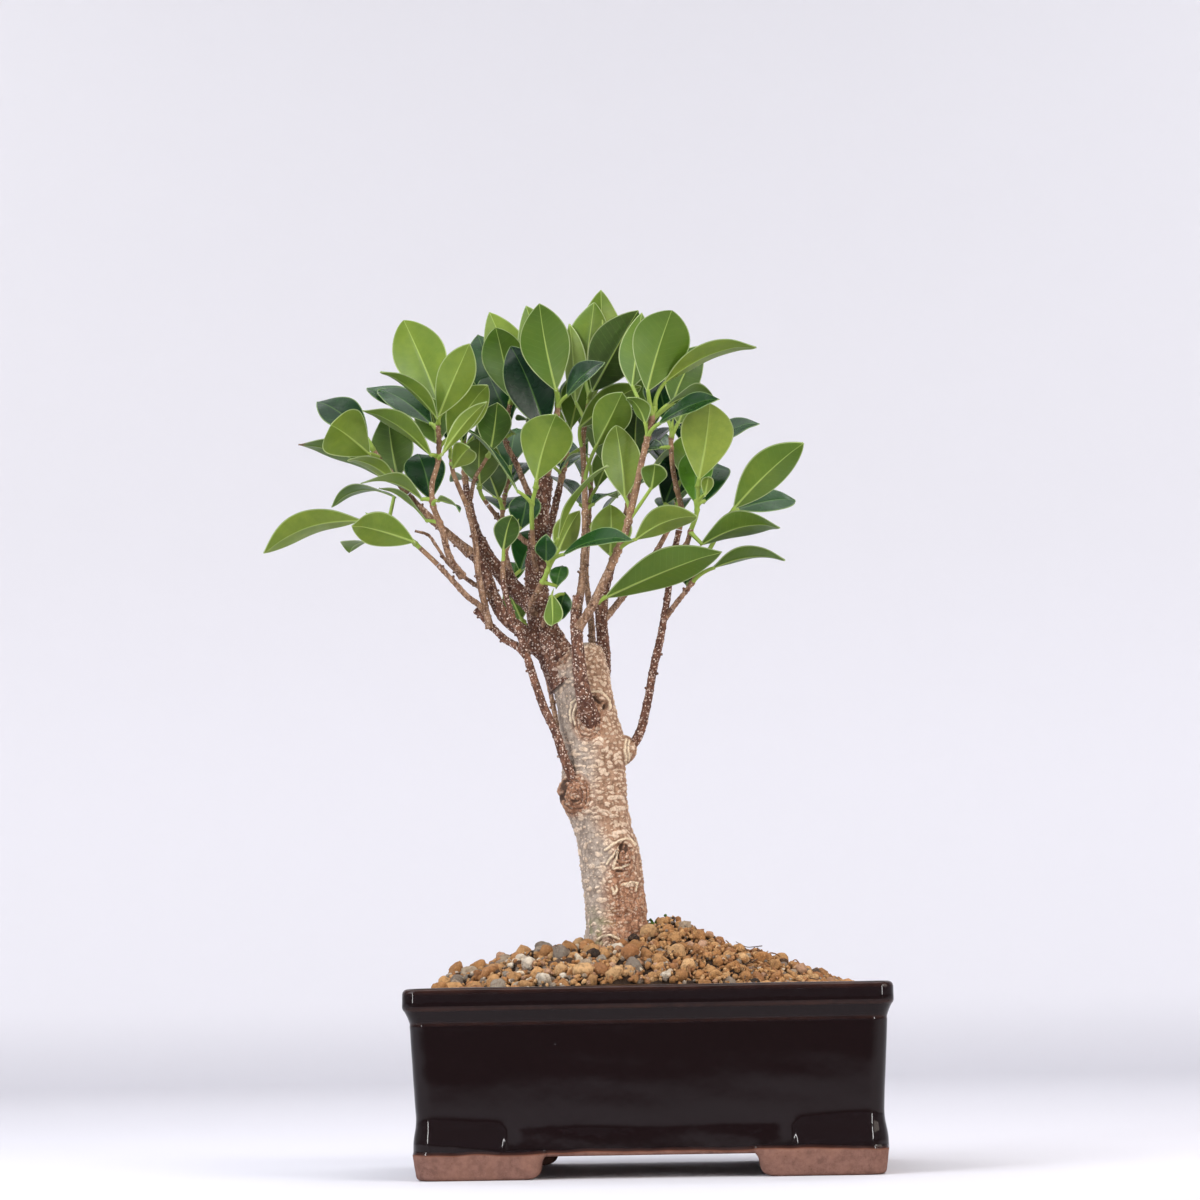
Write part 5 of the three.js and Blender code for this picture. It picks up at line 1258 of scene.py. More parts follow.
def foot_outline(signs, inset, end_inset, thickness):
    """One bracket foot in plan, an L round a corner of the pot."""
    x, y = POT_WIDTH / 2 - inset, POT_DEPTH / 2 - inset
    x_end, y_end = x - FOOT_LENGTH + end_inset, y - FOOT_SIDE_LENGTH + end_inset
    soft, radius = FOOT_SOFTNESS, CORNER_RADIUS

    def line(a, b, count):
        return [lerp(np.array(a, float), np.array(b, float), k / count) for k in range(count)]

    points = []
    points += line((x - thickness + soft * 0.4, y_end), (x - soft, y_end), 5)
    points += [np.array([x - soft + soft * math.sin(a), y_end + soft - soft * math.cos(a)])
        for a in np.linspace(0, math.pi / 2, 5)]
    points += line((x, y_end + soft * 1.2), (x, y - radius), 14)
    points += [np.array([x - radius + radius * math.cos(a), y - radius + radius * math.sin(a)])
        for a in np.linspace(0, math.pi / 2, 11)]
    points += line((x - radius * 1.1, y), (x_end + soft, y), 20)
    points += [np.array([x_end + soft - soft * math.sin(a), y - soft + soft * math.cos(a)])
        for a in np.linspace(0, math.pi / 2, 5)]
    points += line((x_end, y - soft * 1.2), (x_end, y - thickness), 5)
    points += line((x_end, y - thickness), (x - thickness, y - thickness), 16)
    points += line((x - thickness, y - thickness), (x - thickness, y_end), 12)
    outline = np.array(points)
    if signs[0] * signs[1] < 0:
        outline = outline[::-1]
    return outline * np.array(signs)


def add_foot(piece, signs):
    """Bare clay, sloping in towards the table, with ends that curve in and out like a cloud bracket."""
    top_inset = BODY_FOOT_INSET - FOOT_PROUD
    rings = []
    for z in FOOT_HEIGHTS:
        share = min(z / FOOT_HEIGHT, 1)
        rounded = FOOT_ROUNDING * (1 - math.sqrt(1 - (1 - min(z / FOOT_ROUNDING, 1)) ** 2))
        inset = top_inset + FOOT_SLOPE * (1 - share) + rounded
        end = 7.4 - 7.6 * share - 1.6 * math.sin(2 * math.pi * share) * 0.5 + 2.6 * rounded
        thickness = FOOT_THICKNESS - 3 * (1 - share) - 2 * rounded
        outline = foot_outline(signs, inset + (0.35 if z > 11 else 0), float(end), thickness)
        ring = np.column_stack([outline, np.full(len(outline), z)])
        wobble = 0.12 * waves(ring, 14, 8) + 0.05 * waves(ring, 4, 9)
        ring[:, :2] += ring[:, :2] / np.linalg.norm(ring[:, :2], axis=1)[:, None] * wobble[:, None]
        rings.append(ring)
    count = len(rings[0])
    piece.add(np.vstack(rings), grid_faces(len(rings), count, wraps=True), thin=0)
    sole = bmesh.new()
    verts = [sole.verts.new(p) for p in rings[0]]
    face = sole.faces.new(verts)
    bmesh.ops.triangulate(sole, faces=[face])
    points, faces = read_and_free(sole)
    piece.add(points, faces[:, ::-1], thin=0)


def make_pot(material):
    piece = Piece("thin")
    low_ring, high_ring = add_pot_wall(piece)
    add_floor(piece, low_ring, high_ring)
    for signs in ((1, 1), (-1, 1), (-1, -1), (1, -1)):
        add_foot(piece, signs)
    made = piece.make("glazed_pot", material, "glaze", "pot")
    joined = bmesh.new()
    joined.from_mesh(made.data)
    bmesh.ops.remove_doubles(joined, verts=joined.verts, dist=1e-6)
    joined.to_mesh(made.data)
    joined.free()
    return made


# ---------------------------------------------------------------- the soil

BED_DEPTH = 2.2
# The sizes that each kind of grain is drawn from, and how many places are tried for it.
LARGE_GRAINS, LARGE_TRIES = [8.6, 7.2, 6.4, 5.8, 5.4, 5.0, 5.0, 4.6, 4.6, 4.2, 4.2], 6000
FILLING_GRAINS, FILLING_TRIES = [3.8, 3.4, 3.0, 2.6], 9000
CRUMBS, CRUMB_TRIES = [2.2, 1.7, 1.3], 5000
ROOTLET_TRIES, MOSS_TUFTS = 46, 90


def mound(x, y):
    broad = np.hypot((x - MOUND["middle_x"]) / MOUND["half_width"], y / MOUND["half_depth"])
    close = np.hypot(x - MOUND["peak_x"], y) / MOUND["peak_reach"]
    rise = SOIL_MOUND * np.maximum(0, 1 - broad ** MOUND["steepness"])
    return SOIL_EDGE + rise + SOIL_PEAK * np.exp(-(close**2))


def grain_relief(x, y):
    """How far the solids' surface stands up at its large grains, or lies low between them."""
    random = seeded_random(GRAIN_GRID["seed"])
    columns, rows, pitch = GRAIN_GRID["columns"], GRAIN_GRID["rows"], GRAIN_GRID["pitch"]
    total, weight = np.zeros(len(x)), np.full(len(x), 1e-9)
    for row in range(rows + 1):
        for column in range(columns + 1):
            shift = 0 if row % rows == 0 or column % columns == 0 else GRAIN_GRID["jitter"]
            px = (column - columns / 2) * pitch + shift * (2 * next(random) - 1)
            py = (row - rows / 2) * pitch + shift * (2 * next(random) - 1)
            sign = 1 if (row + column) % 2 == 0 else -1
            height = GRAIN_GRID["relief"] * (0.5 + 0.5 * next(random)) * sign
            near = np.exp(-((x - px) ** 2 + (y - py) ** 2) / GRAIN_GRID["reach"] ** 2)
            total, weight = total + near * height, weight + near
    return total / weight


def soil_surface(x, y):
    level = mound(x, y)
    fade = np.minimum(1, GRAIN_GRID["at_rim"] + (level - SOIL_EDGE) / GRAIN_GRID["fade_rise"])
    return level + grain_relief(x, y) * fade


def stone_shapes(count, seed, detail, worn):
    """Rough stones about 2 across: waved spheres broken flat on ten sides. A lower worn cuts deeper."""
    ball = bmesh.new()
    bmesh.ops.create_icosphere(ball, subdivisions=detail, radius=1)
    sphere, faces = read_and_free(ball)
    rng = np.random.RandomState(seed)
    shapes = []
    for number in range(count):
        reach = 1 + 0.13 * waves(sphere, 2.4, seed + number)
        for _ in range(10):
            flat = unit(rng.normal(size=3))
            toward = sphere @ flat
            limit = rng.uniform(worn, 0.92)
            reach = np.where(toward > 0.2, np.minimum(reach, limit / np.maximum(toward, 0.2)), reach)
        reach = reach + 0.05 * waves(sphere, 0.75, seed + 50 + number)
        reach = reach + 0.03 * waves(sphere, 0.34, seed + 90 + number)
        shapes.append(sphere * reach[:, None] * rng.uniform(0.75, 1.18, 3))
    return shapes, faces


def random_turns(rng, count):
    q = unit(rng.normal(size=(count, 4)))
    w, x, y, z = q.T
    return np.stack([
        1 - 2 * (y * y + z * z), 2 * (x * y - z * w), 2 * (x * z + y * w),
        2 * (x * y + z * w), 1 - 2 * (x * x + z * z), 2 * (y * z - x * w),
        2 * (x * z - y * w), 2 * (y * z + x * w), 1 - 2 * (x * x + y * y),
    ], axis=1).reshape(-1, 3, 3)


def scatter_grains(rng, tries, sizes, spacing):
    """Places and sizes of grains over the mound, largest first, not closer than their sizes allow. They are
    finer to the right of the trunk."""
    half_x, half_y = POT_WIDTH / 2 - LIP - 0.8, POT_DEPTH / 2 - LIP - 0.8
    x, y = rng.uniform(-half_x, half_x, tries), rng.uniform(-half_y, half_y, tries)
    size = rng.choice(sizes, tries) * rng.uniform(0.85, 1.15, tries) * (1 - 0.22 * smoothstep(0, 25, x))
    order = np.argsort(-size)
    kept = np.zeros((tries, 3))
    count = 0
    for px, py, ps in zip(x[order], y[order], size[order]):
        if math.hypot(px - TRUNK_FOOT[0], py) < 13.0 + ps * 0.3:
            continue
        if abs(px) > half_x - ps * 0.4 or abs(py) > half_y - ps * 0.4:
            continue
        near = kept[:count]
        if (np.hypot(near[:, 0] - px, near[:, 1] - py) < spacing * (near[:, 2] + ps)).any():
            continue
        kept[count] = px, py, ps
        count += 1
    return kept[:count]


def add_grains(piece, grains, lift, shapes, faces, rng):
    turns = random_turns(rng, len(grains))
    kinds = rng.uniform(0, 1, len(grains))
    is_ochre = rng.uniform(0, 1, len(grains)) < 0.15 + 0.5 * smoothstep(-20, 30, grains[:, 0])
    kinds = np.where(is_ochre, 0.42 + 0.58 * kinds, kinds)
    level = soil_surface(grains[:, 0], grains[:, 1])
    for (x, y, size), turn, kind, height in zip(grains, turns, kinds, level):
        shape = shapes[rng.randint(len(shapes))]
        middle = np.array([x, y, height + lift + 0.12 * size * rng.uniform(-1, 1)])
        piece.add(shape @ turn.T * (size / 2) + middle, faces, kind=kind, own=rng.uniform())


def add_litter(piece, rng):
    """Dead rootlets and bits of twig on the soil, mostly right of the trunk."""
    for _ in range(ROOTLET_TRIES):
        x, y = rng.normal(34, 26), rng.uniform(-56, 40)
        if abs(x) > 88 or math.hypot(x - TRUNK_FOOT[0], y) < 18:
            continue
        heading = rng.uniform(0, 2 * math.pi)
        length, radius = rng.uniform(4, 13), rng.uniform(0.2, 0.5)
        along = np.array([math.cos(heading), math.sin(heading), 0])
        spots_on = [np.array([x, y, 0.0]) + along * length * t for t in (-0.5, -0.15, 0.2, 0.5)]
        line = []
        for spot in spots_on:
            spot = spot + rng.normal(0, 0.06 * length, 3) * [1, 1, 0]
            height = soil_surface(spot[:1], spot[1:2])[0] + rng.uniform(0.6, 2.6)
            line.append([spot[0], spot[1], height])
        kind = 0.9 if radius > 0.3 else 0.05
        add_tube(piece, Curve(line), lambda s: radius * (1 - 0.4 * s), 0.7, 7, kind=kind, own=1.0)


def add_moss(piece, rng, shapes, faces):
    """A little moss at the trunk's foot."""
    for _ in range(MOSS_TUFTS):
        angle, reach = rng.uniform(-0.4, 0.5), 14.5 + abs(rng.normal(0, 3.0))
        if rng.uniform() < 0.4:
            angle, reach = rng.uniform(3.6, 4.4), 13.5 + rng.uniform(0, 1.6)
        x, y = TRUNK_FOOT[0] + reach * math.cos(angle), reach * math.sin(angle)
        height = soil_surface(np.array([x]), np.array([y]))[0] + rng.uniform(0.4, 2.2)
        size = rng.uniform(0.35, 0.9)
        tuft = shapes[rng.randint(len(shapes))] * size + [x, y, height]
        piece.add(tuft, faces, kind=0.5, own=1.0, green=1.0)


def add_bed(piece):
    """The soil under the grains, down to the floor, painted dark as the shade in the gaps between them."""
    shares = np.linspace(0, 1, 46)
    flat, _ = rounded_ring(LIP + GAP, 5.5)
    rings = []
    for share in shares[::-1]:
        x = lerp(TRUNK_FOOT[0], flat[:, 0], share)
        y = flat[:, 1] * share
        level = soil_surface(x, y) - BED_DEPTH + 0.6 * waves(np.column_stack([x, y, x]), 6, 2)
        rings.append(np.column_stack([x, y, level]))
    for z in (60, 40, FLOOR_TOP + GAP):
        wall, _ = rounded_ring(inner_inset(z) + GAP, 5.5)
        rings.insert(0, np.column_stack([wall, np.full(len(wall), z)]))
    piece.add(np.vstack(rings), grid_faces(len(rings), len(flat), wraps=True), kind=-1, own=0.5)
    floor = rings[0]
    middle = np.vstack([floor, floor.mean(0)])
    ring = np.arange(len(floor))
    fan = np.stack([np.full(len(floor), len(floor)), (ring + 1) % len(floor), ring], axis=1)
    piece.add(middle, fan, kind=-1, own=0.5)


def make_soil(material):
    piece = Piece("kind", "own", "green")
    rng = np.random.RandomState(8)
    add_bed(piece)
    large_shapes, large_faces = stone_shapes(16, 3, 3, 0.6)
    small_shapes, small_faces = stone_shapes(12, 90, 2, 0.55)
    large = scatter_grains(rng, LARGE_TRIES, LARGE_GRAINS, 0.43)
    filling = scatter_grains(rng, FILLING_TRIES, FILLING_GRAINS, 0.34)
    crumbs = scatter_grains(rng, CRUMB_TRIES, CRUMBS, 0.3)
    add_grains(piece, large, -0.9, large_shapes, large_faces, rng)
    add_grains(piece, filling, -1.1, small_shapes, small_faces, rng)
    add_grains(piece, crumbs, 0.1, small_shapes, small_faces, rng)
    add_litter(piece, rng)
    add_moss(piece, rng, small_shapes, small_faces)
    return piece.make("soil_of_grains", material, "soil_grains", "soil")


# ---------------------------------------------------------------- materials


class Shader:
    """A material's nodes. A socket given for an input is linked, and anything else is its value."""

    def __init__(self, name):
        self.material = bpy.data.materials.new(name)
        self.material.use_nodes = True
        self.tree = self.material.node_tree
        self.surface = self.tree.nodes["Principled BSDF"]
        self.position = self.node("ShaderNodeTexCoord").outputs["Object"]

    def put(self, socket, value):
        if isinstance(value, bpy.types.NodeSocket):
            self.tree.links.new(value, socket)
        elif isinstance(value, (tuple, list)) and socket.type == "RGBA" and len(value) == 3:
            socket.default_value = (*value, 1)
        else:
            socket.default_value = value

    def node(self, kind, settings=None, **inputs):
        made = self.tree.nodes.new(kind)
        for key, value in (settings or {}).items():
            setattr(made, key, value)
        for key, value in inputs.items():
            self.put(made.inputs[key.replace("_", " ")], value)
        return made

    def value(self, name):
        return self.node("ShaderNodeAttribute", {"attribute_name": name}).outputs["Fac"]

    def math(self, operation, *inputs):
        made = self.node("ShaderNodeMath", {"operation": operation})
        for socket, value in zip(made.inputs, inputs):
            self.put(socket, value)
        return made.outputs[0]

    def ramp(self, value, low, high, start=0.0, end=1.0):
        """A smooth step of a value."""
        made = self.node("ShaderNodeMapRange", {"interpolation_type": "SMOOTHSTEP"}, Value=value,
            From_Min=low, From_Max=high, To_Min=start, To_Max=end)
        return made.outputs["Result"]

    def mix(self, share, a, b):
        made = self.tree.nodes.new("ShaderNodeMix")
        made.data_type = "RGBA"
        self.put(made.inputs[0], share)
        self.put(made.inputs[6], a)
        self.put(made.inputs[7], b)
        return made.outputs[2]

    def noise(self, scale, detail=3.0, roughness=0.55, stretch=None):
        place = self.position
        if stretch:
            place = self.node("ShaderNodeMapping", Vector=place, Scale=stretch).outputs["Vector"]
        return self.node("ShaderNodeTexNoise", Vector=place, Scale=scale, Detail=detail,
            Roughness=roughness).outputs["Fac"]

    def pale_dots(self, pitch=760.0, size=0.34):
        """Scattered dots of uneven size, as shares from 0 to 1."""
        cells = self.node("ShaderNodeTexVoronoi", Vector=self.position, Scale=pitch)
        own = self.node("ShaderNodeSeparateColor", Color=cells.outputs["Color"]).outputs["Red"]
        reach = self.math("MULTIPLY", self.ramp(own, 0, 1, 0.45, 1.15), size)
        return self.ramp(self.math("DIVIDE", cells.outputs["Distance"], reach), 1.0, 0.6)

    def bump(self, height, distance, strength=1.0):
        made = self.node("ShaderNodeBump", Height=height, Distance=distance, Strength=strength)
        self.put(self.surface.inputs["Normal"], made.outputs["Normal"])

    def finish(self, **inputs):
        for key, value in inputs.items():
            self.put(self.surface.inputs[key.replace("_", " ")], value)
        return self.material


def colour(red, green, blue):
    """A colour given as it looks on a screen, 0 to 255, in linear light."""
    shown = [c / 255 for c in (red, green, blue)]
    return tuple(c / 12.92 if c < 0.04045 else ((c + 0.055) / 1.055) ** 2.4 for c in shown)


# Pinholes in the glaze of the front face: (x, y) in the front view, and radius in millimetres.
PINHOLES = [
    (758, 1094, 1.0), (762, 1104, 0.9), (700, 1119, 0.7), (752, 1000, 0.9), (727, 1002, 0.7),
    (555, 1044, 0.6), (456, 1068, 0.4), (668, 1091, 0.4),
]


def glaze_material():
    """Near-black brown glaze over clay that stays bare below a wavering line near the foot."""
    s = Shader("glaze_over_clay")
    height = s.node("ShaderNodeSeparateXYZ", Vector=s.position).outputs["Z"]
    line = s.ramp(s.noise(28, 2), 0.3, 0.7, 0.0103, 0.0118)
    glazed = s.ramp(s.math("SUBTRACT", height, line), -0.0002, 0.0003)
    thin = s.math("MULTIPLY", s.value("thin"), s.ramp(s.noise(90), 0.3, 0.7, 0.35, 1.0))
    lip = s.ramp(s.math("SUBTRACT", height, line), 0.0016, 0.0002)
    brown = s.math("MAXIMUM", s.math("MULTIPLY", thin, 0.4), s.math("MULTIPLY", lip, 0.35))
    glaze = s.mix(brown, colour(20, 10, 11), colour(84, 52, 40))
    clay = s.mix(s.ramp(s.noise(340, 8, 0.75), 0.35, 0.65), colour(126, 92, 80), colour(104, 74, 64))
    clay = s.mix(s.ramp(s.noise(70, 3), 0.4, 0.7, 0, 0.4), clay, colour(146, 106, 88))
    cells = s.node("ShaderNodeTexVoronoi", Vector=s.position, Scale=520)
    specks = s.ramp(cells.outputs["Distance"], 0.12, 0.2, 0.6, 0)
    clay = s.mix(s.math("MULTIPLY", specks, s.ramp(s.noise(150), 0.5, 0.6)), clay, colour(92, 62, 50))
    from_line = s.math("ABSOLUTE", s.math("SUBTRACT", height, line))
    clay = s.mix(s.ramp(from_line, 0.0007, 0.0), clay, colour(104, 62, 45))
    orange_peel = s.math("MULTIPLY", s.noise(110, 2), 0.00012)
    grit = s.math("MULTIPLY", s.noise(700, 6, 0.7), 0.00035)
    relief = s.node("ShaderNodeMix", A=grit, B=orange_peel, Factor=glazed).outputs[0]
    for x, y, radius in PINHOLES:
        middle = seen(x, y, -POT_DEPTH / 2 + 3) / 1000 + ORIGIN
        apart = s.node("ShaderNodeVectorMath", {"operation": "DISTANCE"})
        s.put(apart.inputs[0], s.position)
        apart.inputs[1].default_value = tuple(middle)
        reach = radius / 1000
        relief = s.math("SUBTRACT", relief, s.ramp(apart.outputs["Value"], reach, reach * 0.4, 0, 0.0009))
    s.bump(relief, 1.0, 0.6)
    roughness = s.ramp(glazed, 0, 1, 0.8, 0.06)
    return s.finish(Base_Color=s.mix(glazed, clay, glaze), Roughness=roughness, IOR=1.5,
        Specular_IOR_Level=0.21)


def leaf_material():
    """Thick waxy leaves: dark above, lighter and yellower beneath, with a pale midrib and margin. The stems
    go from green at the tip to brown."""
    s = Shader("fig_leaf")
    shade, olive, upper = s.value("shade"), s.value("olive"), s.value("upper")
    # The shade value carries painted light and shade per leaf as well as the leaf's own tone; the noise
    # varies the tone at random.
    tone = s.math("ADD", s.math("MULTIPLY", shade, 0.5), s.ramp(s.noise(55, 4), 0.25, 0.75, 0.4, 0.6))

    def spread(dark, middle, light):
        low = s.mix(s.ramp(tone, 0, 0.5), dark, middle)
        return s.mix(s.ramp(tone, 0.5, 1.0), low, light)

    above = spread(colour(14, 38, 20), colour(32, 70, 24), colour(78, 118, 34))
    beneath = spread(colour(40, 66, 20), colour(78, 106, 29), colour(121, 141, 47))
    olive_beneath = spread(colour(64, 78, 26), colour(102, 120, 40), colour(140, 154, 62))
    blade = s.mix(upper, s.mix(olive, beneath, olive_beneath), above)
    slant = s.value("slant")
    vein = s.math("ABSOLUTE", s.math("SINE", s.math("MULTIPLY", slant, math.pi / VEIN_SPACING)))
    vein = s.math("MULTIPLY", s.ramp(vein, 0.13, 0.0), s.ramp(s.noise(300), 0.35, 0.6, 0.15, 0.6))
    light_vein = s.mix(upper, colour(128, 158, 76), colour(56, 100, 50))
    blade = s.mix(s.math("MULTIPLY", vein, 0.5), blade, light_vein)
    freckle = s.mix(upper, colour(70, 104, 34), colour(12, 40, 24))
    blade = s.mix(s.ramp(s.noise(300, 5, 0.7), 0.35, 0.65, 0, 0.2), blade, freckle)
    rib_width = s.ramp(s.value("along"), 0, 1, 0.62, 0.16)
    rib = s.ramp(s.math("DIVIDE", s.value("rib"), rib_width), 1.1, 0.5)
    rib_colour = s.mix(upper, colour(166, 186, 96), colour(88, 122, 60))
    blade = s.mix(s.math("MULTIPLY", rib, s.ramp(upper, 0, 1, 0.72, 0.5)), blade, rib_colour)
    margin = s.ramp(s.value("margin"), 0.62, 0.28)
    margin_colour = s.mix(upper, colour(190, 204, 146), colour(140, 164, 104))
    blade = s.mix(s.math("MULTIPLY", margin, 0.62), blade, margin_colour)
    blade = s.mix(s.value("dry"), blade, s.mix(s.noise(400), colour(96, 68, 44), colour(150, 112, 72)))
    wood = s.value("stem")
    green_stem = s.mix(s.noise(200), colour(128, 156, 60), colour(160, 178, 84))
    brown_stem = s.mix(s.ramp(s.noise(360, 5), 0.3, 0.7), colour(112, 82, 62), colour(160, 126, 96))
    brown_stem = s.mix(s.math("MULTIPLY", s.pale_dots(900), 0.7), brown_stem, colour(214, 194, 172))
    stem = s.mix(s.ramp(wood, 0.5, 0.75), green_stem, brown_stem)
    base = s.mix(s.ramp(wood, 0.05, 0.2), blade, stem)
    roughness = s.math("ADD", s.ramp(upper, 0, 1, 0.44, 0.24), s.ramp(s.noise(90, 3), 0.3, 0.7, -0.04, 0.1))
    roughness = s.math("ADD", roughness, s.ramp(wood, 0.1, 0.9, 0, 0.3))
    relief = s.math("MULTIPLY", s.noise(120, 3), 0.0006)
    s.bump(relief, 1.0, 0.3)
    return s.finish(Base_Color=base, Roughness=roughness, IOR=1.42, Subsurface_Weight=0.1,
        Subsurface_Radius=(0.5, 1.0, 0.2), Subsurface_Scale=0.002,
        Specular_IOR_Level=s.ramp(upper, 0, 1, 0.42, 0.26))


def bark_material():
    """Tan trunk bark, greyer on one side, with cream lenticels, and red-brown limbs dotted with pale ones."""
    s = Shader("fig_bark")
    age, lens, rough, dark = s.value("age"), s.value("lens"), s.value("rough"), s.value("dark")
    fine = s.noise(520, 5, 0.65, (1, 1, 0.5))
    broad = s.noise(60, 4)
    tan = s.mix(s.ramp(fine, 0.3, 0.7), colour(122, 91, 70), colour(184, 149, 122))
    tan = s.mix(s.ramp(broad, 0.4, 0.7, 0, 0.5), tan, colour(170, 134, 106))
    grey = s.mix(s.ramp(fine, 0.3, 0.7), colour(136, 121, 108), colour(182, 166, 150))
    tan = s.mix(s.value("patch"), tan, grey)
    red = s.mix(s.ramp(fine, 0.32, 0.68), colour(124, 82, 60), colour(190, 144, 112))
    tan = s.mix(s.math("MULTIPLY", rough, s.ramp(broad, 0.25, 0.6, 0.6, 1.0)), tan, red)
    tan = s.mix(s.math("MULTIPLY", s.value("moss"), 0.55), tan, colour(112, 120, 72))
    limb = s.mix(s.ramp(fine, 0.35, 0.68), colour(70, 42, 32), colour(138, 96, 74))
    limb = s.mix(s.ramp(s.noise(130, 3), 0.42, 0.66, 0, 0.6), limb, colour(88, 54, 42))
    striped = s.noise(700, 4, 0.65, (1, 1, 0.22))
    twig = s.mix(s.ramp(striped, 0.35, 0.65), colour(104, 74, 54), colour(170, 136, 108))
    young = s.mix(s.ramp(age, 0.75, 0.95), twig, limb)
    base = s.mix(s.ramp(age, 0.2, 0.6), tan, young)
    on_trunk = s.mix(s.ramp(fine, 0.3, 0.7), colour(200, 174, 148), colour(234, 212, 188))
    on_limb = s.mix(fine, colour(176, 146, 126), colour(214, 188, 170))
    pale = s.mix(s.ramp(age, 0.2, 0.6), on_trunk, on_limb)
    base = s.mix(s.math("MULTIPLY", s.ramp(lens, 0.15, 0.6), 0.88), base, pale)
    dots = s.math("MULTIPLY", s.pale_dots(900, 0.38), s.ramp(age, 0.6, 0.95, 0.0, 1.0))
    dots = s.math("MAXIMUM", dots, s.math("MULTIPLY", s.pale_dots(), s.math("MULTIPLY", rough, 0.45)))
    base = s.mix(dots, base, colour(232, 212, 196))
    base = s.mix(s.ramp(s.value("cream"), 0.15, 0.7, 0, 0.95), base, colour(230, 210, 180))
    # Painted shade on the trunk, and the darker colour of leaf scars on the limbs and twigs.
    base = s.mix(s.math("MULTIPLY", s.ramp(dark, 0.15, 0.9), 0.9), base, colour(56, 38, 28))
    crack = s.node("ShaderNodeTexVoronoi", {"feature": "DISTANCE_TO_EDGE"}, Vector=s.position, Scale=480)
    crack_line = s.ramp(crack.outputs["Distance"], 0.08, 0.0)
    cracked = s.math("MULTIPLY", crack_line, s.ramp(rough, 0.2, 0.9, 0.35, 0.55))
    base = s.mix(cracked, base, colour(78, 54, 42))
    relief = s.math("ADD", s.math("MULTIPLY", fine, 0.0007), s.math("MULTIPLY", cracked, -0.0005))
    relief = s.math("ADD", relief, s.math("MULTIPLY", dots, 0.0002))
    s.bump(relief, 1.0, 0.8)
    return s.finish(Base_Color=base, Roughness=s.ramp(fine, 0, 1, 0.9, 0.7), Specular_IOR_Level=0.35)


# A grain's kind, from 0 to 1, picks its colour: black, grey, cream, salmon, then ochre.
GRAIN_COLOURS = [
    (0.0, (46, 38, 34)), (0.04, (74, 67, 62)), (0.08, (138, 128, 116)), (0.15, (166, 154, 138)),
    (0.22, (190, 172, 148)), (0.27, (246, 228, 200)), (0.31, (250, 238, 216)), (0.33, (214, 170, 138)),
    (0.38, (200, 154, 120)), (0.42, (192, 138, 86)), (0.6, (218, 166, 110)), (0.78, (234, 188, 134)),
    (0.88, (178, 124, 80)), (0.95, (208, 150, 98)),
]


def grain_material():
    """Baked ochre clay grains among grey, cream, salmon and black ones, over a bed painted dark as shade."""
    s = Shader("soil_grain")
    kind, own = s.value("kind"), s.value("own")
    ramp = s.tree.nodes.new("ShaderNodeValToRGB")
    ramp.color_ramp.interpolation = "CONSTANT"
    stops = ramp.color_ramp.elements
    while len(stops) < len(GRAIN_COLOURS):
        stops.new(0.5)
    for stop, (place, rgb) in zip(stops, GRAIN_COLOURS):
        stop.position = place
        stop.color = (*colour(*rgb), 1)
    s.put(ramp.inputs["Fac"], kind)
    mottle = s.noise(520, 6, 0.75)
    tint = s.mix(s.ramp(own, 0, 1, 0, 0.3), ramp.outputs["Color"], colour(126, 90, 58))
    base = s.mix(s.ramp(mottle, 0.42, 0.7, 0.0, 0.6), tint, colour(104, 74, 52))
    base = s.mix(s.ramp(s.noise(1500, 4, 0.7), 0.58, 0.7, 0, 0.45), base, colour(222, 194, 156))
    # The bed under the grains (kind below 0) is painted dark, as the shade in the gaps between them.
    base = s.mix(s.ramp(kind, -0.01, -0.5), base, colour(58, 42, 30))
    base = s.mix(s.value("green"), base, s.mix(mottle, colour(52, 84, 34), colour(104, 134, 62)))
    grit = s.math("MULTIPLY", s.noise(1800, 5, 0.75), 0.0008)
    relief = s.math("ADD", s.math("MULTIPLY", mottle, 0.0016), grit)
    s.bump(relief, 1.0, 1.0)
    return s.finish(Base_Color=base, Roughness=0.92, Specular_IOR_Level=0.25)


def mesh_material():
    s = Shader("moulded_mesh")
    fine = s.noise(1200, 3)
    s.bump(s.math("MULTIPLY", fine, 0.0001), 1.0, 0.5)
    return s.finish(Base_Color=s.mix(fine, colour(26, 28, 26), colour(40, 42, 39)),
        Roughness=s.ramp(fine, 0, 1, 0.5, 0.65))


def wire_material():
    s = Shader("drawn_wire")
    drawn = s.noise(900, 2, 0.5, (0.2, 1, 1))
    return s.finish(Base_Color=s.mix(drawn, colour(150, 146, 138), colour(186, 182, 174)), Metallic=1.0,
        Roughness=s.ramp(drawn, 0, 1, 0.3, 0.5))


# ---------------------------------------------------------------- floor, light and camera

STAGE_RADIUS, STAGE_CURVE = 2.6, 0.6
SENSOR_WIDTH = 36


def floor_material():
    """Pale, with a strip of painted shade well in front of the pot, so that the glaze does not mirror a
    bright floor.
    """
    s = Shader("pale_floor")
    tint = s.mix(s.noise(1.5, 2), colour(221, 220, 225), colour(216, 215, 220))
    place = s.node("ShaderNodeSeparateXYZ", Vector=s.position)
    y, z = place.outputs["Y"], place.outputs["Z"]
    tint = s.mix(s.ramp(y, 0.3, 1.2), tint, colour(226, 225, 230))
    tint = s.mix(s.ramp(z, 0.0, 0.1), tint, colour(243, 242, 246))
    tint = s.mix(s.ramp(z, 0.3, 0.8), tint, colour(238, 237, 240))
    # Painted shade: a grey strip on the floor in front of the pot, for the glaze to mirror.
    strip = s.math("MULTIPLY", s.ramp(y, -0.205, -0.5), s.ramp(y, -1.8, -1.4))
    strip = s.math("MULTIPLY", strip, s.ramp(z, 0.02, 0.005))
    tint = s.mix(strip, tint, colour(96, 94, 95))
    return s.finish(Base_Color=tint, Roughness=0.8, Specular_IOR_Level=0.2)


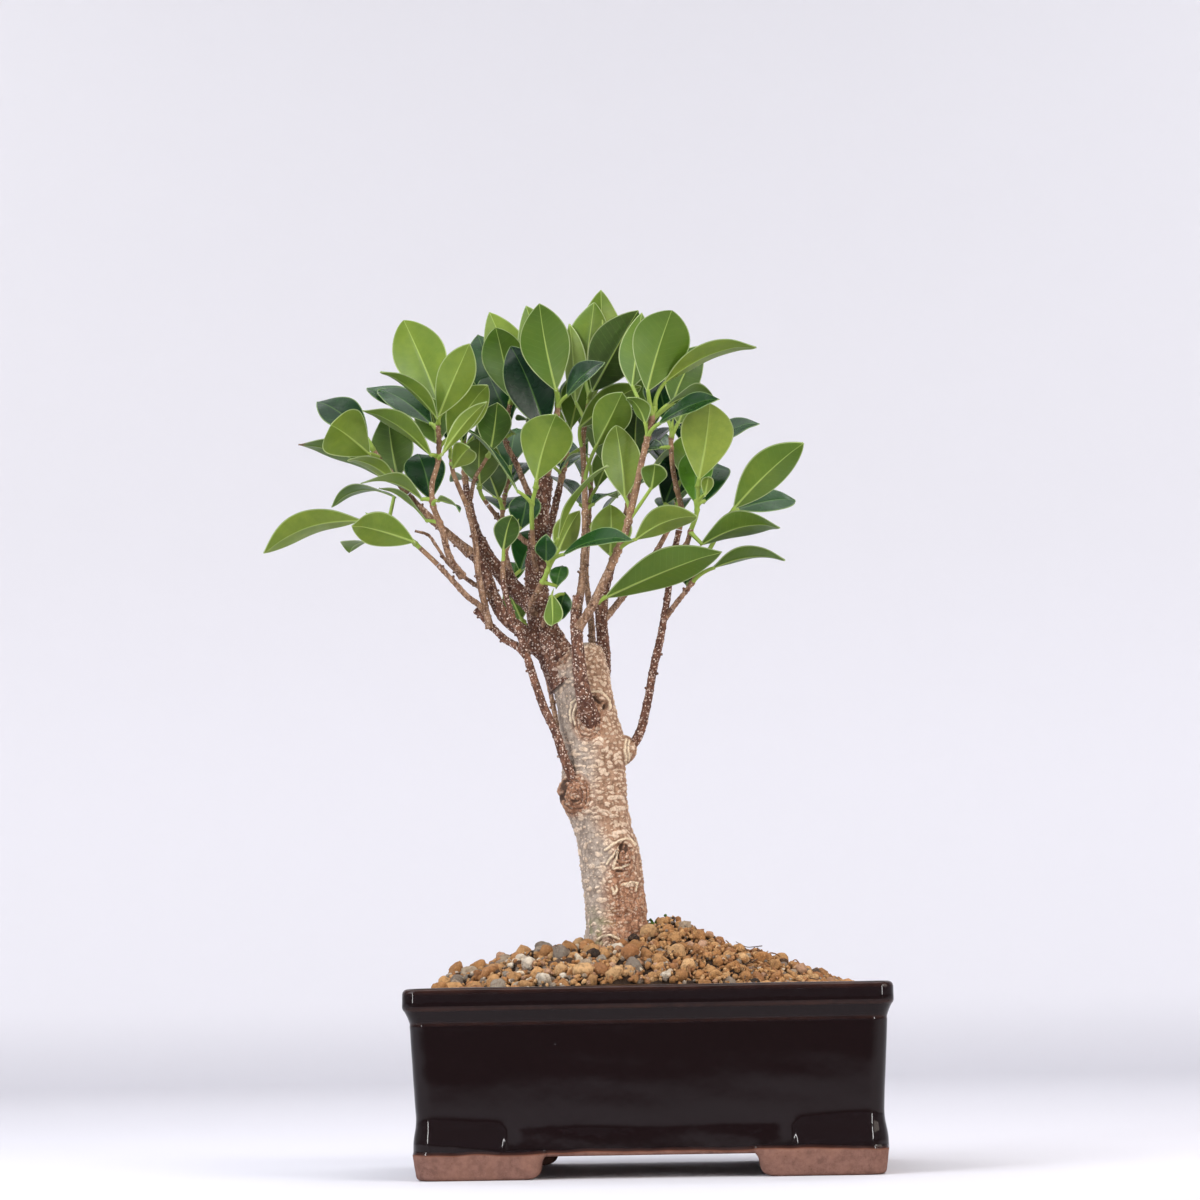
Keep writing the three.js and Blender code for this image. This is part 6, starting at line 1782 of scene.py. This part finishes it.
def make_stage():
    """A wide pale floor that curves up into a pale wall all round."""
    profile = [(0.4, 0.0), (1.0, 0.0), (STAGE_RADIUS - STAGE_CURVE, 0.0)]
    for a in np.linspace(0.1, math.pi / 2, 14):
        profile.append((STAGE_RADIUS - STAGE_CURVE * (1 - math.sin(a)), STAGE_CURVE * (1 - math.cos(a))))
    profile += [(STAGE_RADIUS, 1.6), (STAGE_RADIUS, 2.6)]
    sides = 96
    angle = np.arange(sides) / sides * 2 * math.pi
    circle = np.column_stack([np.cos(angle), np.sin(angle)])
    rings = [np.column_stack([reach * circle, np.full(sides, z)]) for reach, z in profile]
    faces = grid_faces(len(rings), sides, wraps=True)[:, ::-1].tolist()
    faces.append(list(range(sides)))
    mesh = bpy.data.meshes.new("floor")
    mesh.from_pydata(np.vstack(rings).tolist(), [], faces)
    mesh.polygons.foreach_set("use_smooth", [True] * len(faces))
    mesh.materials.append(floor_material())
    floor = bpy.data.objects.new("floor", mesh)
    bpy.context.scene.collection.objects.link(floor)


def add_light(name, place, target, size, power, rgb):
    light = bpy.data.lights.new(name, "AREA")
    light.shape = "RECTANGLE"
    light.size, light.size_y = size
    light.energy = power
    light.color = colour(*rgb)
    lamp = bpy.data.objects.new(name, light)
    lamp.location = place
    lamp.rotation_euler = (Vector(target) - Vector(place)).to_track_quat("-Z", "Y").to_euler()
    bpy.context.scene.collection.objects.link(lamp)


def make_light():
    crown = (0.0, 0.0, 0.26)
    add_light("window", (-0.95, -0.6, 0.95), crown, (0.9, 1.0), 10, (240, 245, 255))
    add_light("fill", (1.2, -0.7, 0.7), crown, (0.8, 0.8), 8.2, (255, 241, 228))
    add_light("overhead", (0.0, 0.1, 1.35), crown, (1.4, 1.0), 9.5, (252, 251, 255))
    add_light("strip", (0.0, -0.5, 1.25), (0, 0, 0.1), (1.1, 0.08), 3, (255, 255, 255))
    add_light("pane_left", (-0.9, -1.0, 0.7), (0, 0, 0.1), (0.2, 0.32), 4, (255, 255, 255))
    add_light("pane_right", (1.0, -1.0, 0.65), (0, 0, 0.1), (0.18, 0.28), 3.4, (255, 252, 246))
    add_light("low_left", (-0.85, -1.15, 0.25), (0, 0, 0.09), (0.07, 0.4), 4, (255, 255, 255))
    add_light("low_right", (0.85, -1.15, 0.25), (0, 0, 0.09), (0.07, 0.4), 4, (255, 255, 255))
    for x in (-1.2, 1.2):
        add_light("wall_wash", (x, 1.0, 1.8), (0.3 * x, 2.6, 0.5), (0.8, 0.5), 9.6, (250, 250, 253))
    world = bpy.data.worlds.new("room")
    bpy.context.scene.world = world
    world.use_nodes = True
    world.node_tree.nodes["Background"].inputs["Color"].default_value = (*colour(225, 228, 236), 1)
    world.node_tree.nodes["Background"].inputs["Strength"].default_value = 0.3


def make_camera():
    camera = bpy.data.cameras.new("camera")
    camera.sensor_width = SENSOR_WIDTH
    camera.lens = FOCAL * SENSOR_WIDTH / (2 * CENTRE)
    camera.clip_start, camera.clip_end = 0.05, 20
    holder = bpy.data.objects.new("camera", camera)
    place = EYE / 1000 + ORIGIN
    columns = [Vector(RIGHT), Vector(UP), Vector(-FORWARD)]
    turn = Matrix([[c[i] for c in columns] for i in range(3)])
    holder.matrix_world = Matrix.Translation(Vector(place)) @ turn.to_4x4()
    bpy.context.scene.collection.objects.link(holder)
    bpy.context.scene.camera = holder


# ---------------------------------------------------------------- the whole


def give_look(start, material):
    """One material for the solids that are kept as they are, and whose names start so."""
    for name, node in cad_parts.items():
        if name.startswith(start):
            node.data.materials.clear()
            node.data.materials.append(material)


make_camera()
make_light()
make_stage()
leaf = leaf_material()
for item in leafy_twigs():
    add_shoot(item, leaf)
make_wood(bark_material())
make_pot(glaze_material())
make_soil(grain_material())
give_look("drain_mesh", mesh_material())
give_look("mesh_clip", wire_material())
bpy.context.scene.view_settings.view_transform = "Standard"
